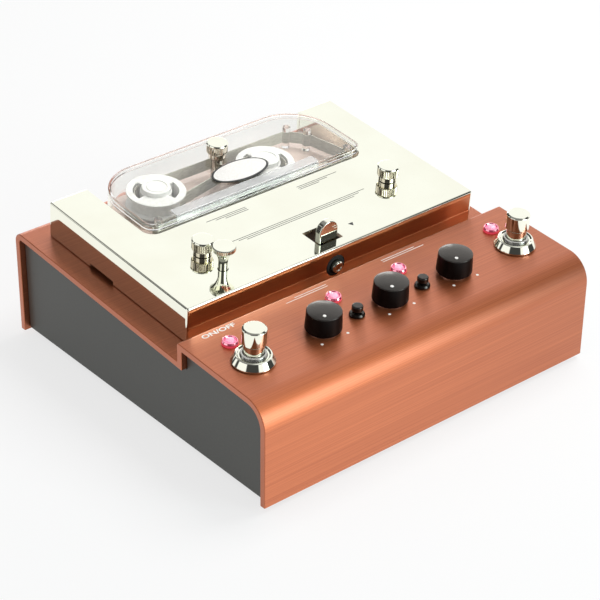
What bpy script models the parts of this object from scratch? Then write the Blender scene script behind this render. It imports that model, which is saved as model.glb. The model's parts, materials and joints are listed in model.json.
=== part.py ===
"""Tape echo unit: a bent copper chassis with a mirror-polished tape deck, a clear cartridge and foot controls.

Metres, +Z up, +X to the right along the front, -Y the front. The origin is at the bottom centre of the
whole unit. The tape deck is laid out in deck_frame, whose X and Y lie in the sloping rear ledge, and the
controls in panel_frame, which lies in the sloping front panel.
"""

import math

import bmesh
import bpy
from mathutils import Matrix, Vector

# Fits
GAP = 0.0003
CUT_OVERRUN = 0.0010
MERGE_DISTANCE = 0.000001
SMOOTH_ANGLE = math.radians(30)

# Chassis shell
SHELL_WIDTH = 0.2000
SHELL_DEPTH = 0.1920
SHELL_SHEET = 0.0032
STEP_DEPTH = 0.0622
FRONT_HEIGHT = 0.0524
STEP_HEIGHT = 0.0561
LEDGE_FRONT_HEIGHT = 0.0461
LEDGE_REAR_HEIGHT = 0.0559
FRONT_RADIUS = 0.0130
STEP_RADIUS = 0.0012
REAR_RADIUS = 0.0050
BOTTOM_LIFT = 0.0012

# Side panels, base and feet
SIDE_INSET = 0.0030
SIDE_SHEET = 0.0020
BASE_SHEET = 0.0020
FOOT_RADIUS = 0.0070
FOOT_STANDOFF = 0.0025
FOOT_EDGE = 0.0160
FOOT_BEVEL = 0.0008

# Main board
BOARD_SIDE_MARGIN = 0.0100
BOARD_FRONT = 0.0200
BOARD_REAR_MARGIN = 0.0320
BOARD_SHEET = 0.0016
BOARD_CLEARANCE = 0.0050
BOARD_LEG_RADIUS = 0.0030
BOARD_LEG_EDGE = 0.0100

# Rear sockets
JACK_HEIGHT = 0.0280
JACK_PITCH = 0.0300
JACK_COLUMN = 0.0550
JACK_BODY_RADIUS = 0.0085
JACK_BODY_LENGTH = 0.0220
JACK_BUSH_RADIUS = 0.0055
JACK_NUT_RADIUS = 0.0075
JACK_NUT_LENGTH = 0.0025
JACK_BORE_RADIUS = 0.0033
JACK_BORE_DEPTH = 0.0200
INLET_COLUMN = 0.0500
INLET_BODY_RADIUS = 0.0065
INLET_BODY_LENGTH = 0.0140
INLET_BUSH_RADIUS = 0.0050
INLET_RIM_RADIUS = 0.0062
INLET_RIM_LENGTH = 0.0015
INLET_BORE_RADIUS = 0.0030
INLET_BORE_DEPTH = 0.0100
INLET_PIN_RADIUS = 0.0010

# Control panel layout: rows in front of the step, and columns as shares of the footswitches' column
FOOTSWITCH_EDGE = 0.0190
LED_STEP_MARGIN = 0.0142
LED_SPACING = 0.0165
KNOBS = ("level", "feedback", "time")
KNOB_SHARES = (-0.5, 0, 0.5)
BUTTONS = ("short", "long")
BUTTON_SHARES = (-0.25, 0.25)
FOOTSWITCHES = ("on", "tap")
FOOTSWITCH_SHARES = (-1, 1)
LEDS = ("power", "short", "long", "tap")
LED_SHARES = (-1, -0.25, 0.25, 1)

# Knobs and potentiometers
KNOB_RADIUS = 0.0087
KNOB_LIP_RADIUS = 0.0084
KNOB_TOP_RADIUS = 0.0079
KNOB_LIP_HEIGHT = 0.0017
KNOB_LIFT = 0.0006
KNOB_TOP = 0.0117
KNOB_EDGE = 0.0010
KNOB_DISH = 0.0004
KNOB_HOLLOW_RADIUS = 0.0066
KNOB_HOLLOW_HEIGHT = 0.0052
POT_BODY_RADIUS = 0.0080
POT_BODY_HEIGHT = 0.0090
POT_BUSH_RADIUS = 0.0035
POT_BUSH_TOP = 0.0036
POT_SHAFT_RADIUS = 0.0030
POT_SHAFT_TOP = 0.0090

# Push buttons
BUTTON_FLANGE_RADIUS = 0.0038
BUTTON_FLANGE_TOP_RADIUS = 0.0032
BUTTON_FLANGE_HEIGHT = 0.0018
BUTTON_NECK_RADIUS = 0.0028
BUTTON_BODY_DEPTH = 0.0110
BUTTON_BORE_RADIUS = 0.0018
BUTTON_CAP_RADIUS = 0.0027
BUTTON_CAP_BOTTOM = 0.0029
BUTTON_CAP_TOP = 0.0056
BUTTON_CAP_EDGE = 0.0005
BUTTON_STEM_DEPTH = 0.0050
BUTTON_WELL_DEPTH = 0.0080

# Indicator lamps
LED_BEZEL_RADIUS = 0.0039
LED_BEZEL_TOP_RADIUS = 0.0033
LED_BEZEL_HEIGHT = 0.0018
LED_LENS_RADIUS = 0.0026
LED_LENS_TOP = 0.0034
LED_BODY_RADIUS = 0.0030
LED_BODY_DEPTH = 0.0090

# Footswitches
NUT_BASE_RADIUS = 0.0102
NUT_TOP_RADIUS = 0.0081
NUT_HEIGHT = 0.0042
NUT_FLAT_HEIGHT = 0.0007
SWITCH_BUSH_RADIUS = 0.0060
SWITCH_BUSH_TOP = 0.0050
SWITCH_BOX = 0.0170
SWITCH_BOX_HEIGHT = 0.0150
SWITCH_WELL_DEPTH = 0.0110
PLUNGER_CAP_RADIUS = 0.0057
PLUNGER_NECK_RADIUS = 0.0048
PLUNGER_CAP_BOTTOM = 0.0100
PLUNGER_TOP = 0.0170
PLUNGER_EDGE = 0.0006
PLUNGER_DEPTH = 0.0060

# Deck cover, in the deck frame
COVER_SIDE_MARGIN = 0.0116
COVER_FRONT = 0.0084
COVER_REAR = 0.1175
COVER_HEIGHT = 0.0188
COVER_SHEET = 0.0015
COVER_EDGE = 0.0008
VENT_FRONT = 0.0650
VENT_REAR = 0.0835
VENT_HEIGHT = 0.0022

# Deck plate and the opening under it
DECK_SIDE_INSET = 0.0005
DECK_REAR = 0.1130
DECK_TOP = 0.0090
DECK_SHEET = 0.0020
OPENING_SIDE_MARGIN = 0.0030
OPENING_END_MARGIN = 0.0050
TAB_WIDTH = 0.0120
TAB_TOP = 0.0130

# Cover screws and the release knob
SCREW_HEAD_RADIUS = 0.0057
SCREW_HEAD_HEIGHT = 0.0056
SCREW_NECK_RADIUS = 0.0045
SCREW_NECK_HEIGHT = 0.0024
SCREW_EDGE = 0.0005
COVER_SCREW_INSET = 0.00825
COVER_SCREW_SHIFT = 0.0026
COVER_SCREW_ROW = 0.0404
COVER_SHANK_RADIUS = 0.0020
COVER_SHANK_DEPTH = 0.0060
BOSS_RADIUS = 0.0042
RELEASE_ROW = 0.0250
RELEASE_HEAD_RADIUS = 0.0057
RELEASE_TOP = 0.0128
RELEASE_RIM = 0.0020
RELEASE_STEM_SHOW = 0.0013
RELEASE_STEM_RADIUS = 0.0023
RELEASE_COLLAR_RADIUS = 0.0040
RELEASE_COLLAR_HEIGHT = 0.0022
RELEASE_TRAVEL = 0.0025
FRONT_SCREW_HEIGHT = 0.0087
FRONT_SCREW_RADIUS = 0.0031
FRONT_SCREW_PROUD = 0.0025
FRONT_SCREW_SHANK_RADIUS = 0.0015
FRONT_HOLE_RADIUS = 0.0056

# Lock lever
LEVER_WIDTH = 0.0110
LEVER_THICKNESS = 0.0036
LEVER_RISE = 0.0110
LEVER_FRONT = 0.0146
LEVER_FOOT_WIDTH = 0.0180
LEVER_FOOT_HEIGHT = 0.0015
LEVER_TRAVEL = 0.0080
SLOT_COLUMN = 0.0013
SLOT_WIDTH = 0.0146
SLOT_MARGIN = 0.0008

# Cartridge shells
CARTRIDGE_WIDTH = 0.1330
CARTRIDGE_FRONT = 0.0660
CARTRIDGE_REAR = 0.1165
CARTRIDGE_TOP = 0.0236
CARTRIDGE_SEAM = 0.0205
CARTRIDGE_WALL = 0.0012
CARTRIDGE_FLOOR = 0.0010
CARTRIDGE_FRONT_RADIUS = 0.0060
CARTRIDGE_REAR_RADIUS = 0.0240
NOTCH_CLEARANCE = 0.0006
WINDOW_LEFT = -0.0520
WINDOW_RIGHT = 0.0555
WINDOW_DEPTH = 0.0060
WINDOW_TOP = 0.0179
BADGE_LENGTH = 0.0330
BADGE_WIDTH = 0.0170
BADGE_SHEET = 0.0005
BADGE_ROW = 0.0820

# Cartridge fastening
PILLAR_COLUMN = -0.0010
PILLAR_ROW = 0.0992
PILLAR_RADIUS = 0.0028
PILLAR_SHANK_RADIUS = 0.0013
PILLAR_SHANK_DEPTH = 0.0090

# Reels and tape
REEL_RADIUS = 0.0147
REEL_FLANGE = 0.0009
DRUM_RADIUS = 0.0100
HUB_RADIUS = 0.0070
HUB_RISE = 0.0006
BOSS_RING_RADIUS = 0.0046
BOSS_RING_RISE = 0.0015
SPINDLE_RADIUS = 0.0025
REEL_WINDOW_INNER = 0.0074
REEL_WINDOW_OUTER = 0.0092
REEL_WINDOW_COUNT = 3
REEL_WINDOW_ANGLE = math.radians(84)
LEFT_REEL_COLUMN = -0.0410
LEFT_REEL_ROW = 0.0956
RIGHT_REEL_COLUMN = 0.0200
RIGHT_REEL_ROW = 0.0867
TAPE_WIDTH = 0.0063
TAPE_THICKNESS = 0.0004
TAPE_RUN = 0.0685
GUIDE_RADIUS = 0.0020
GUIDE_LEFT_COLUMN = -0.0580
GUIDE_RIGHT_COLUMN = 0.0600
RETURN_GUIDE_COLUMN = 0.0540
RETURN_GUIDE_ROW = 0.0950
CORNER_GUIDE_COLUMN = 0.0470
CORNER_GUIDE_ROW = 0.1030

# Heads
HEAD_WIDTH = 0.0110
HEAD_LENGTH = 0.0125
HEAD_TOP = 0.0168
HEAD_NOSE = 0.0020
ERASE_HEAD_COLUMN = -0.0400
HEAD_PITCH = 0.0220

# Drive
CAPSTAN_COLUMN = 0.0480
CAPSTAN_RADIUS = 0.0012
CAPSTAN_TOP = 0.0169
BEARING_RADIUS = 0.0035
BEARING_FLANGE_RADIUS = 0.0058
BEARING_FLANGE = 0.0016
BEARING_BOTTOM = -0.0100
FLYWHEEL_RADIUS = 0.0180
FLYWHEEL_HEIGHT = 0.0060
MOTOR_COLUMN = -0.0020
MOTOR_ROW = 0.0560
MOTOR_RADIUS = 0.0120
MOTOR_BOTTOM = -0.0090
MOTOR_SHAFT_RADIUS = 0.0011
MOTOR_SHAFT_DEPTH = 0.0060
PULLEY_RADIUS = 0.0040
BELT_WIDTH = 0.0030
BELT_THICKNESS = 0.0010
ROLLER_RADIUS = 0.0055
ROLLER_HEIGHT = 0.0056
ROLLER_PIN_RADIUS = 0.0013
ARM_RADIUS = 0.0035
ARM_SHEET = 0.0015
ARM_PIVOT_COLUMN = 0.0580
ARM_PIVOT_ROW = 0.0500
ARM_CORNER_RADIUS = 0.0032
ARM_PIN_RADIUS = 0.0015

# Worked out from the sizes above
UNIT_DEPTH = SHELL_DEPTH + JACK_NUT_LENGTH
FRONT_Y = -UNIT_DEPTH / 2
PANEL_SLOPE = math.atan2(STEP_HEIGHT - FRONT_HEIGHT, STEP_DEPTH)
DECK_SLOPE = math.atan2(LEDGE_REAR_HEIGHT - LEDGE_FRONT_HEIGHT, SHELL_DEPTH - STEP_DEPTH)
SIDE_INNER_X = SHELL_WIDTH / 2 - SIDE_INSET - SIDE_SHEET
BASE_TOP = BOTTOM_LIFT + BASE_SHEET
LED_ROW = STEP_DEPTH - LED_STEP_MARGIN
CONTROL_ROW = LED_ROW - LED_SPACING
FOOTSWITCH_COLUMN = SHELL_WIDTH / 2 - FOOTSWITCH_EDGE
COVER_WIDTH = SHELL_WIDTH - 2 * COVER_SIDE_MARGIN
DECK_WIDTH = CARTRIDGE_WIDTH - 2 * DECK_SIDE_INSET
DECK_FRONT = COVER_FRONT + COVER_SHEET + GAP
LEFT_SCREW_COLUMN = COVER_SCREW_SHIFT - (DECK_WIDTH / 2 - COVER_SCREW_INSET)
RIGHT_SCREW_COLUMN = COVER_SCREW_SHIFT + (DECK_WIDTH / 2 - COVER_SCREW_INSET)
RELEASE_TAPER = RELEASE_TOP - RELEASE_RIM - RELEASE_TRAVEL - RELEASE_STEM_SHOW
FLOOR = DECK_TOP + GAP + CARTRIDGE_FLOOR
REEL_BOTTOM = FLOOR + GAP
TAPE_BOTTOM = REEL_BOTTOM + REEL_FLANGE + GAP
TAPE_TOP = TAPE_BOTTOM + TAPE_WIDTH
TAPE_OFFSET = TAPE_THICKNESS / 2 + GAP
GUIDE_ROW = TAPE_RUN + TAPE_OFFSET + GUIDE_RADIUS
CAPSTAN_ROW = TAPE_RUN + TAPE_OFFSET + CAPSTAN_RADIUS
ROLLER_ROW = TAPE_RUN - TAPE_OFFSET - ROLLER_RADIUS
FLYWHEEL_TOP = BEARING_BOTTOM - GAP
LID_UNDERSIDE = CARTRIDGE_TOP - CARTRIDGE_WALL
DECK_UNDERSIDE = DECK_TOP - DECK_SHEET
COVER_UNDERSIDE = COVER_HEIGHT - COVER_SHEET
SLOT_FRONT = LEVER_FRONT - SLOT_MARGIN
SLOT_REAR = LEVER_FRONT + LEVER_THICKNESS + LEVER_TRAVEL + SLOT_MARGIN

FINE = 24
MEDIUM = 18
COARSE = 12


def linear(hex_colour):
    """An sRGB hex colour as linear red, green, blue and alpha."""
    shares = [int(hex_colour[i : i + 2], 16) / 255 for i in (0, 2, 4)]
    return [s / 12.92 if s <= 0.04045 else ((s + 0.055) / 1.055) ** 2.4 for s in shares] + [1.0]


def finish(name, hex_colour, metallic, roughness, transmission=0.0):
    """A plain surface of one colour."""
    material = bpy.data.materials.new(name)
    material.use_nodes = True
    shader = material.node_tree.nodes["Principled BSDF"]
    shader.inputs["Base Color"].default_value = linear(hex_colour)
    shader.inputs["Metallic"].default_value = metallic
    shader.inputs["Roughness"].default_value = roughness
    shader.inputs["Transmission Weight"].default_value = transmission
    return material


def make_finishes():
    return {
        "copper": finish("brushed_copper", "C97C58", 1.0, 0.38),
        "dark": finish("dark_satin_paint", "52534C", 0.3, 0.45),
        "mirror": finish("polished_nickel", "E8E6D6", 1.0, 0.05),
        "steel": finish("bright_steel", "C9C8C0", 1.0, 0.25),
        "aluminium": finish("plain_aluminium", "B4B2AC", 1.0, 0.40),
        "brass": finish("turned_brass", "C9A35A", 1.0, 0.30),
        "black": finish("gloss_black_plastic", "141414", 0.0, 0.18),
        "clear": finish("clear_plastic", "F4F2F6", 0.0, 0.03, 0.9),
        "white": finish("white_plastic", "F2F1EE", 0.0, 0.35),
        "tape": finish("magnetic_tape", "6E625A", 0.0, 0.30),
        "rubber": finish("black_rubber", "1B1B1B", 0.0, 0.80),
        "lamp": finish("pink_lens", "F49AB0", 0.0, 0.10, 0.5),
        "board": finish("green_board", "2E5B3C", 0.0, 0.50),
    }


def clear_scene():
    for item in list(bpy.data.objects):
        bpy.data.objects.remove(item, do_unlink=True)


def add_frame(name, location, slope):
    """An empty whose X and Y axes lie in a face that slopes up towards the back."""
    frame = bpy.data.objects.new(name, None)
    frame.location = location
    frame.rotation_euler = (slope, 0, 0)
    bpy.context.collection.objects.link(frame)
    return frame


def add_piece(name, shape, material, parent=None, location=(0, 0, 0), smooth=True):
    """Links one closed shape as an object, with its faces pointing out and any round faces smooth."""
    bmesh.ops.remove_doubles(shape, verts=shape.verts, dist=MERGE_DISTANCE)
    bmesh.ops.recalc_face_normals(shape, faces=shape.faces)
    mesh = bpy.data.meshes.new(name)
    shape.to_mesh(mesh)
    shape.free()
    if smooth:
        mesh.shade_smooth()
        mesh.set_sharp_from_angle(angle=SMOOTH_ANGLE)
    if material is not None:
        mesh.materials.append(material)
    piece = bpy.data.objects.new(name, mesh)
    piece.parent = parent
    piece.location = location
    bpy.context.collection.objects.link(piece)
    return piece


def combine(piece, operation, name, shape, frame=None):
    """Cuts a hidden shape, laid out in the frame or else in the piece, out of a piece, or joins it on."""
    helper = add_piece(name, shape, None, frame or piece)
    helper.hide_render = True
    helper.display_type = "WIRE"
    modifier = piece.modifiers.new(name, "BOOLEAN")
    modifier.operation = operation
    modifier.object = helper
    modifier.solver = "EXACT"


def turned(profile, steps, axis="Z", centre=(0, 0, 0), shape=None):
    """Spins a profile of (radius, height) points about an axis through the centre."""
    shape = shape or bmesh.new()
    turn = Matrix.Rotation(math.radians(-90), 4, "X") if axis == "Y" else Matrix.Identity(4)
    place = Matrix.Translation(centre) @ turn
    points = [shape.verts.new(place @ Vector((radius, 0, height))) for radius, height in profile]
    closed = profile[0][0] > 0
    pairs = zip(points, points[1:] + points[:1]) if closed else zip(points, points[1:])
    edges = [shape.edges.new(pair) for pair in pairs]
    direction = turn.to_3x3() @ Vector((0, 0, 1))
    bmesh.ops.spin(
        shape, geom=points + edges, cent=centre, axis=direction, angle=math.tau, steps=steps, use_merge=True
    )
    bmesh.ops.remove_doubles(shape, verts=shape.verts, dist=MERGE_DISTANCE)
    return shape


def rod(radius, low, high, steps=MEDIUM, axis="Z", centre=(0, 0, 0), shape=None):
    return turned([(0, low), (radius, low), (radius, high), (0, high)], steps, axis, centre, shape)


def block(low, high, shape=None):
    """A rectangular block between two opposite corners."""
    shape = shape or bmesh.new()
    size = [b - a for a, b in zip(low, high)]
    centre = [(a + b) / 2 for a, b in zip(low, high)]
    place = Matrix.Translation(centre) @ Matrix.Diagonal((*size, 1))
    bmesh.ops.create_cube(shape, size=1, matrix=place)
    return shape


def slab(outline, low, high, along="Z", shape=None):
    """Extrudes a flat outline between two levels: (x, y) along Z, (y, z) along X or (x, z) along Y."""
    shape = shape or bmesh.new()
    place = {
        "Z": lambda a, b: (a, b, low),
        "X": lambda a, b: (low, a, b),
        "Y": lambda a, b: (a, low, b),
    }[along]
    step = {"Z": (0, 0, high - low), "X": (high - low, 0, 0), "Y": (0, high - low, 0)}[along]
    face = shape.faces.new([shape.verts.new(place(a, b)) for a, b in outline])
    grown = bmesh.ops.extrude_face_region(shape, geom=[face])
    tops = [item for item in grown["geom"] if isinstance(item, bmesh.types.BMVert)]
    bmesh.ops.translate(shape, verts=tops, vec=step)
    return shape


def rounded(corners, steps=6):
    """The outline through ((a, b), radius) corners, each rounded by an arc of its radius."""
    outline = []
    for i, (corner, radius) in enumerate(corners):
        here = Vector(corner)
        if radius <= 0:
            outline.append(tuple(here))
            continue
        back = (Vector(corners[i - 1][0]) - here).normalized()
        ahead = (Vector(corners[(i + 1) % len(corners)][0]) - here).normalized()
        half = back.angle(ahead) / 2
        centre = here + (back + ahead).normalized() * (radius / math.sin(half))
        start = here + back * (radius / math.tan(half)) - centre
        sweep = math.pi - 2 * half
        turn = -1 if back.x * ahead.y - back.y * ahead.x > 0 else 1
        for k in range(steps + 1):
            angle = turn * sweep * k / steps
            cosine = math.cos(angle)
            sine = math.sin(angle)
            outline.append(
                (centre.x + start.x * cosine - start.y * sine, centre.y + start.x * sine + start.y * cosine)
            )
    return outline


def circle(radius, steps, centre=(0, 0)):
    turns = [math.tau * k / steps for k in range(steps)]
    return [(centre[0] + radius * math.cos(a), centre[1] + radius * math.sin(a)) for a in turns]


def shell_corners(inset):
    """The sheet's centre section, inset from its outer face, as (y, z) corners with their radii."""
    rise = inset / math.cos(PANEL_SLOPE)
    ledge_rise = inset / math.cos(DECK_SLOPE)
    panel = math.tan(PANEL_SLOPE)
    ledge = math.tan(DECK_SLOPE)
    front = inset
    step = STEP_DEPTH - inset
    rear = SHELL_DEPTH - inset
    return [
        ((front, 0), 0),
        ((front, FRONT_HEIGHT + front * panel - rise), FRONT_RADIUS - inset),
        ((step, STEP_HEIGHT - inset * panel - rise), max(STEP_RADIUS - inset, 0)),
        ((step, LEDGE_FRONT_HEIGHT - inset * ledge - ledge_rise), 0),
        ((rear, LEDGE_REAR_HEIGHT - inset * ledge - ledge_rise), max(REAR_RADIUS - inset, 0)),
        ((rear, 0), 0),
    ]


def belt_path(circles, steps):
    """The closed centre line of a band round circles of (x, y, radius, turn): turn 1 is to the left."""
    count = len(circles)
    leaving = []
    arriving = [None] * count
    for i, (x, y, radius, turn) in enumerate(circles):
        far_x, far_y, far_radius, far_turn = circles[(i + 1) % count]
        span = Vector((far_x - x, far_y - y))
        swing = math.asin((turn * radius - far_turn * far_radius) / span.length)
        heading = math.atan2(span.y, span.x) + swing
        side = Vector((math.sin(heading), -math.cos(heading)))
        leaving.append(math.atan2(turn * side.y, turn * side.x))
        arriving[(i + 1) % count] = math.atan2(far_turn * side.y, far_turn * side.x)
    path = []
    for (x, y, radius, turn), start, end in zip(circles, arriving, leaving):
        sweep = (turn * (end - start)) % math.tau
        parts = max(2, round(steps * sweep / math.tau))
        for k in range(parts + 1):
            angle = start + turn * sweep * k / parts
            path.append((x + radius * math.cos(angle), y + radius * math.sin(angle)))
    return path


def band(path, thickness, low, high):
    """A closed band of the given thickness that stands along a path, between two levels."""
    shape = bmesh.new()
    rings = []
    count = len(path)
    for i, point in enumerate(path):
        before = Vector(path[i - 1])
        after = Vector(path[(i + 1) % count])
        along = (after - before).normalized()
        side = Vector((along.y, -along.x)) * (thickness / 2)
        here = Vector(point)
        corners = [here + side, here - side]
        ring = [shape.verts.new((c.x, c.y, z)) for c, z in zip(corners + corners[::-1], (low, low, high, high))]
        rings.append(ring)
    for ring, following in zip(rings, rings[1:] + rings[:1]):
        for k in range(4):
            m = (k + 1) % 4
            shape.faces.new((ring[k], ring[m], following[m], following[k]))
    return shape


def on_panel(share, row):
    """A place on the panel, in a column at a share of the footswitches' distance from the middle."""
    return (share * FOOTSWITCH_COLUMN, row, 0)


def build_chassis(finishes, panel_frame, deck_frame):
    bottom = FOOT_STANDOFF
    outer = rounded(shell_corners(0), 8)
    inner = rounded(shell_corners(SHELL_SHEET), 8)
    half = SHELL_WIDTH / 2
    shape = slab(outer + inner[::-1], -half, half, "X")
    shell = add_piece("chassis_shell", shape, finishes["copper"], None, (0, FRONT_Y, bottom))
    low = -SHELL_SHEET - CUT_OVERRUN
    high = CUT_OVERRUN
    holes = bmesh.new()
    for shares, row, radius in (
        (KNOB_SHARES, CONTROL_ROW, POT_BUSH_RADIUS),
        (BUTTON_SHARES, CONTROL_ROW, BUTTON_NECK_RADIUS),
        (FOOTSWITCH_SHARES, CONTROL_ROW, SWITCH_BUSH_RADIUS),
        (LED_SHARES, LED_ROW, LED_BODY_RADIUS),
    ):
        for share in shares:
            rod(radius + GAP, low, high, MEDIUM, "Z", on_panel(share, row), holes)
    combine(shell, "DIFFERENCE", "panel_holes", holes, panel_frame)
    reach = DECK_WIDTH / 2 - OPENING_SIDE_MARGIN
    opening = block(
        (-reach, DECK_FRONT + OPENING_END_MARGIN, low), (reach, DECK_REAR - OPENING_END_MARGIN, high)
    )
    combine(shell, "DIFFERENCE", "deck_opening", opening, deck_frame)
    sockets = bmesh.new()
    rear_low = SHELL_DEPTH - SHELL_SHEET - CUT_OVERRUN
    rear_high = SHELL_DEPTH + CUT_OVERRUN
    for column in (JACK_COLUMN, JACK_COLUMN - JACK_PITCH):
        rod(JACK_BUSH_RADIUS + GAP, rear_low, rear_high, MEDIUM, "Y", (column, 0, JACK_HEIGHT), sockets)
    rod(INLET_BUSH_RADIUS + GAP, rear_low, rear_high, MEDIUM, "Y", (-INLET_COLUMN, 0, JACK_HEIGHT), sockets)
    combine(shell, "DIFFERENCE", "rear_holes", sockets)

    section = rounded(shell_corners(SHELL_SHEET + GAP), 8)
    panel_section = [(y, max(z, BOTTOM_LIFT)) for y, z in section]
    for name, side in (("side_panel_left", -1), ("side_panel_right", 1)):
        faces = sorted((side * SIDE_INNER_X, side * (SIDE_INNER_X + SIDE_SHEET)))
        add_piece(name, slab(panel_section, *faces, "X"), finishes["dark"], None, (0, FRONT_Y, bottom))

    reach = SIDE_INNER_X - GAP
    front = SHELL_SHEET + GAP
    rear = SHELL_DEPTH - SHELL_SHEET - GAP
    add_piece(
        "base_plate",
        block((-reach, front, BOTTOM_LIFT), (reach, rear, BASE_TOP)),
        finishes["dark"],
        None,
        (0, FRONT_Y, bottom),
    )
    foot_top = bottom + BOTTOM_LIFT - GAP
    foot = [
        (0, 0),
        (FOOT_RADIUS - FOOT_BEVEL, 0),
        (FOOT_RADIUS, FOOT_BEVEL),
        (FOOT_RADIUS, foot_top),
        (0, foot_top),
    ]
    for side_name, side in (("left", -1), ("right", 1)):
        for end_name, y in (("front", FOOT_EDGE), ("rear", SHELL_DEPTH - FOOT_EDGE)):
            place = (side * (half - FOOT_EDGE), FRONT_Y + y, 0)
            add_piece(f"foot_{end_name}_{side_name}", turned(foot, MEDIUM), finishes["rubber"], None, place)


def build_electronics(finishes):
    bottom = FOOT_STANDOFF
    low = BASE_TOP + BOARD_CLEARANCE
    half = SIDE_INNER_X - BOARD_SIDE_MARGIN
    rear = SHELL_DEPTH - BOARD_REAR_MARGIN
    board = add_piece(
        "main_board",
        block((-half, BOARD_FRONT, low), (half, rear, low + BOARD_SHEET)),
        finishes["board"],
        None,
        (0, FRONT_Y, bottom),
    )
    legs = bmesh.new()
    for x in (-half + BOARD_LEG_EDGE, half - BOARD_LEG_EDGE):
        for y in (BOARD_FRONT + BOARD_LEG_EDGE, rear - BOARD_LEG_EDGE):
            rod(BOARD_LEG_RADIUS, BASE_TOP + GAP, low + BOARD_SHEET / 2, COARSE, "Z", (x, y, 0), legs)
    combine(board, "UNION", "board_legs", legs)

    wall_inner = SHELL_DEPTH - SHELL_SHEET - GAP
    wall_outer = SHELL_DEPTH + GAP
    face = SHELL_DEPTH + JACK_NUT_LENGTH
    jack = [
        (0, wall_inner - JACK_BODY_LENGTH),
        (JACK_BODY_RADIUS, wall_inner - JACK_BODY_LENGTH),
        (JACK_BODY_RADIUS, wall_inner),
        (JACK_BUSH_RADIUS, wall_inner),
        (JACK_BUSH_RADIUS, wall_outer),
        (JACK_NUT_RADIUS, wall_outer),
        (JACK_NUT_RADIUS, face),
        (JACK_BORE_RADIUS, face),
        (JACK_BORE_RADIUS, face - JACK_BORE_DEPTH),
        (0, face - JACK_BORE_DEPTH),
    ]
    for name, x in (("input_jack", JACK_COLUMN), ("output_jack", JACK_COLUMN - JACK_PITCH)):
        place = (x, FRONT_Y, bottom + JACK_HEIGHT)
        add_piece(name, turned(jack, MEDIUM, "Y"), finishes["steel"], None, place)

    rim = SHELL_DEPTH + INLET_RIM_LENGTH
    inlet = [
        (0, wall_inner - INLET_BODY_LENGTH),
        (INLET_BODY_RADIUS, wall_inner - INLET_BODY_LENGTH),
        (INLET_BODY_RADIUS, wall_inner),
        (INLET_BUSH_RADIUS, wall_inner),
        (INLET_BUSH_RADIUS, wall_outer),
        (INLET_RIM_RADIUS, wall_outer),
        (INLET_RIM_RADIUS, rim),
        (INLET_BORE_RADIUS, rim),
        (INLET_BORE_RADIUS, rim - INLET_BORE_DEPTH),
        (INLET_PIN_RADIUS, rim - INLET_BORE_DEPTH),
        (INLET_PIN_RADIUS, SHELL_DEPTH),
        (0, SHELL_DEPTH),
    ]
    place = (-INLET_COLUMN, FRONT_Y, bottom + JACK_HEIGHT)
    add_piece("power_inlet", turned(inlet, COARSE, "Y"), finishes["black"], None, place)


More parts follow.
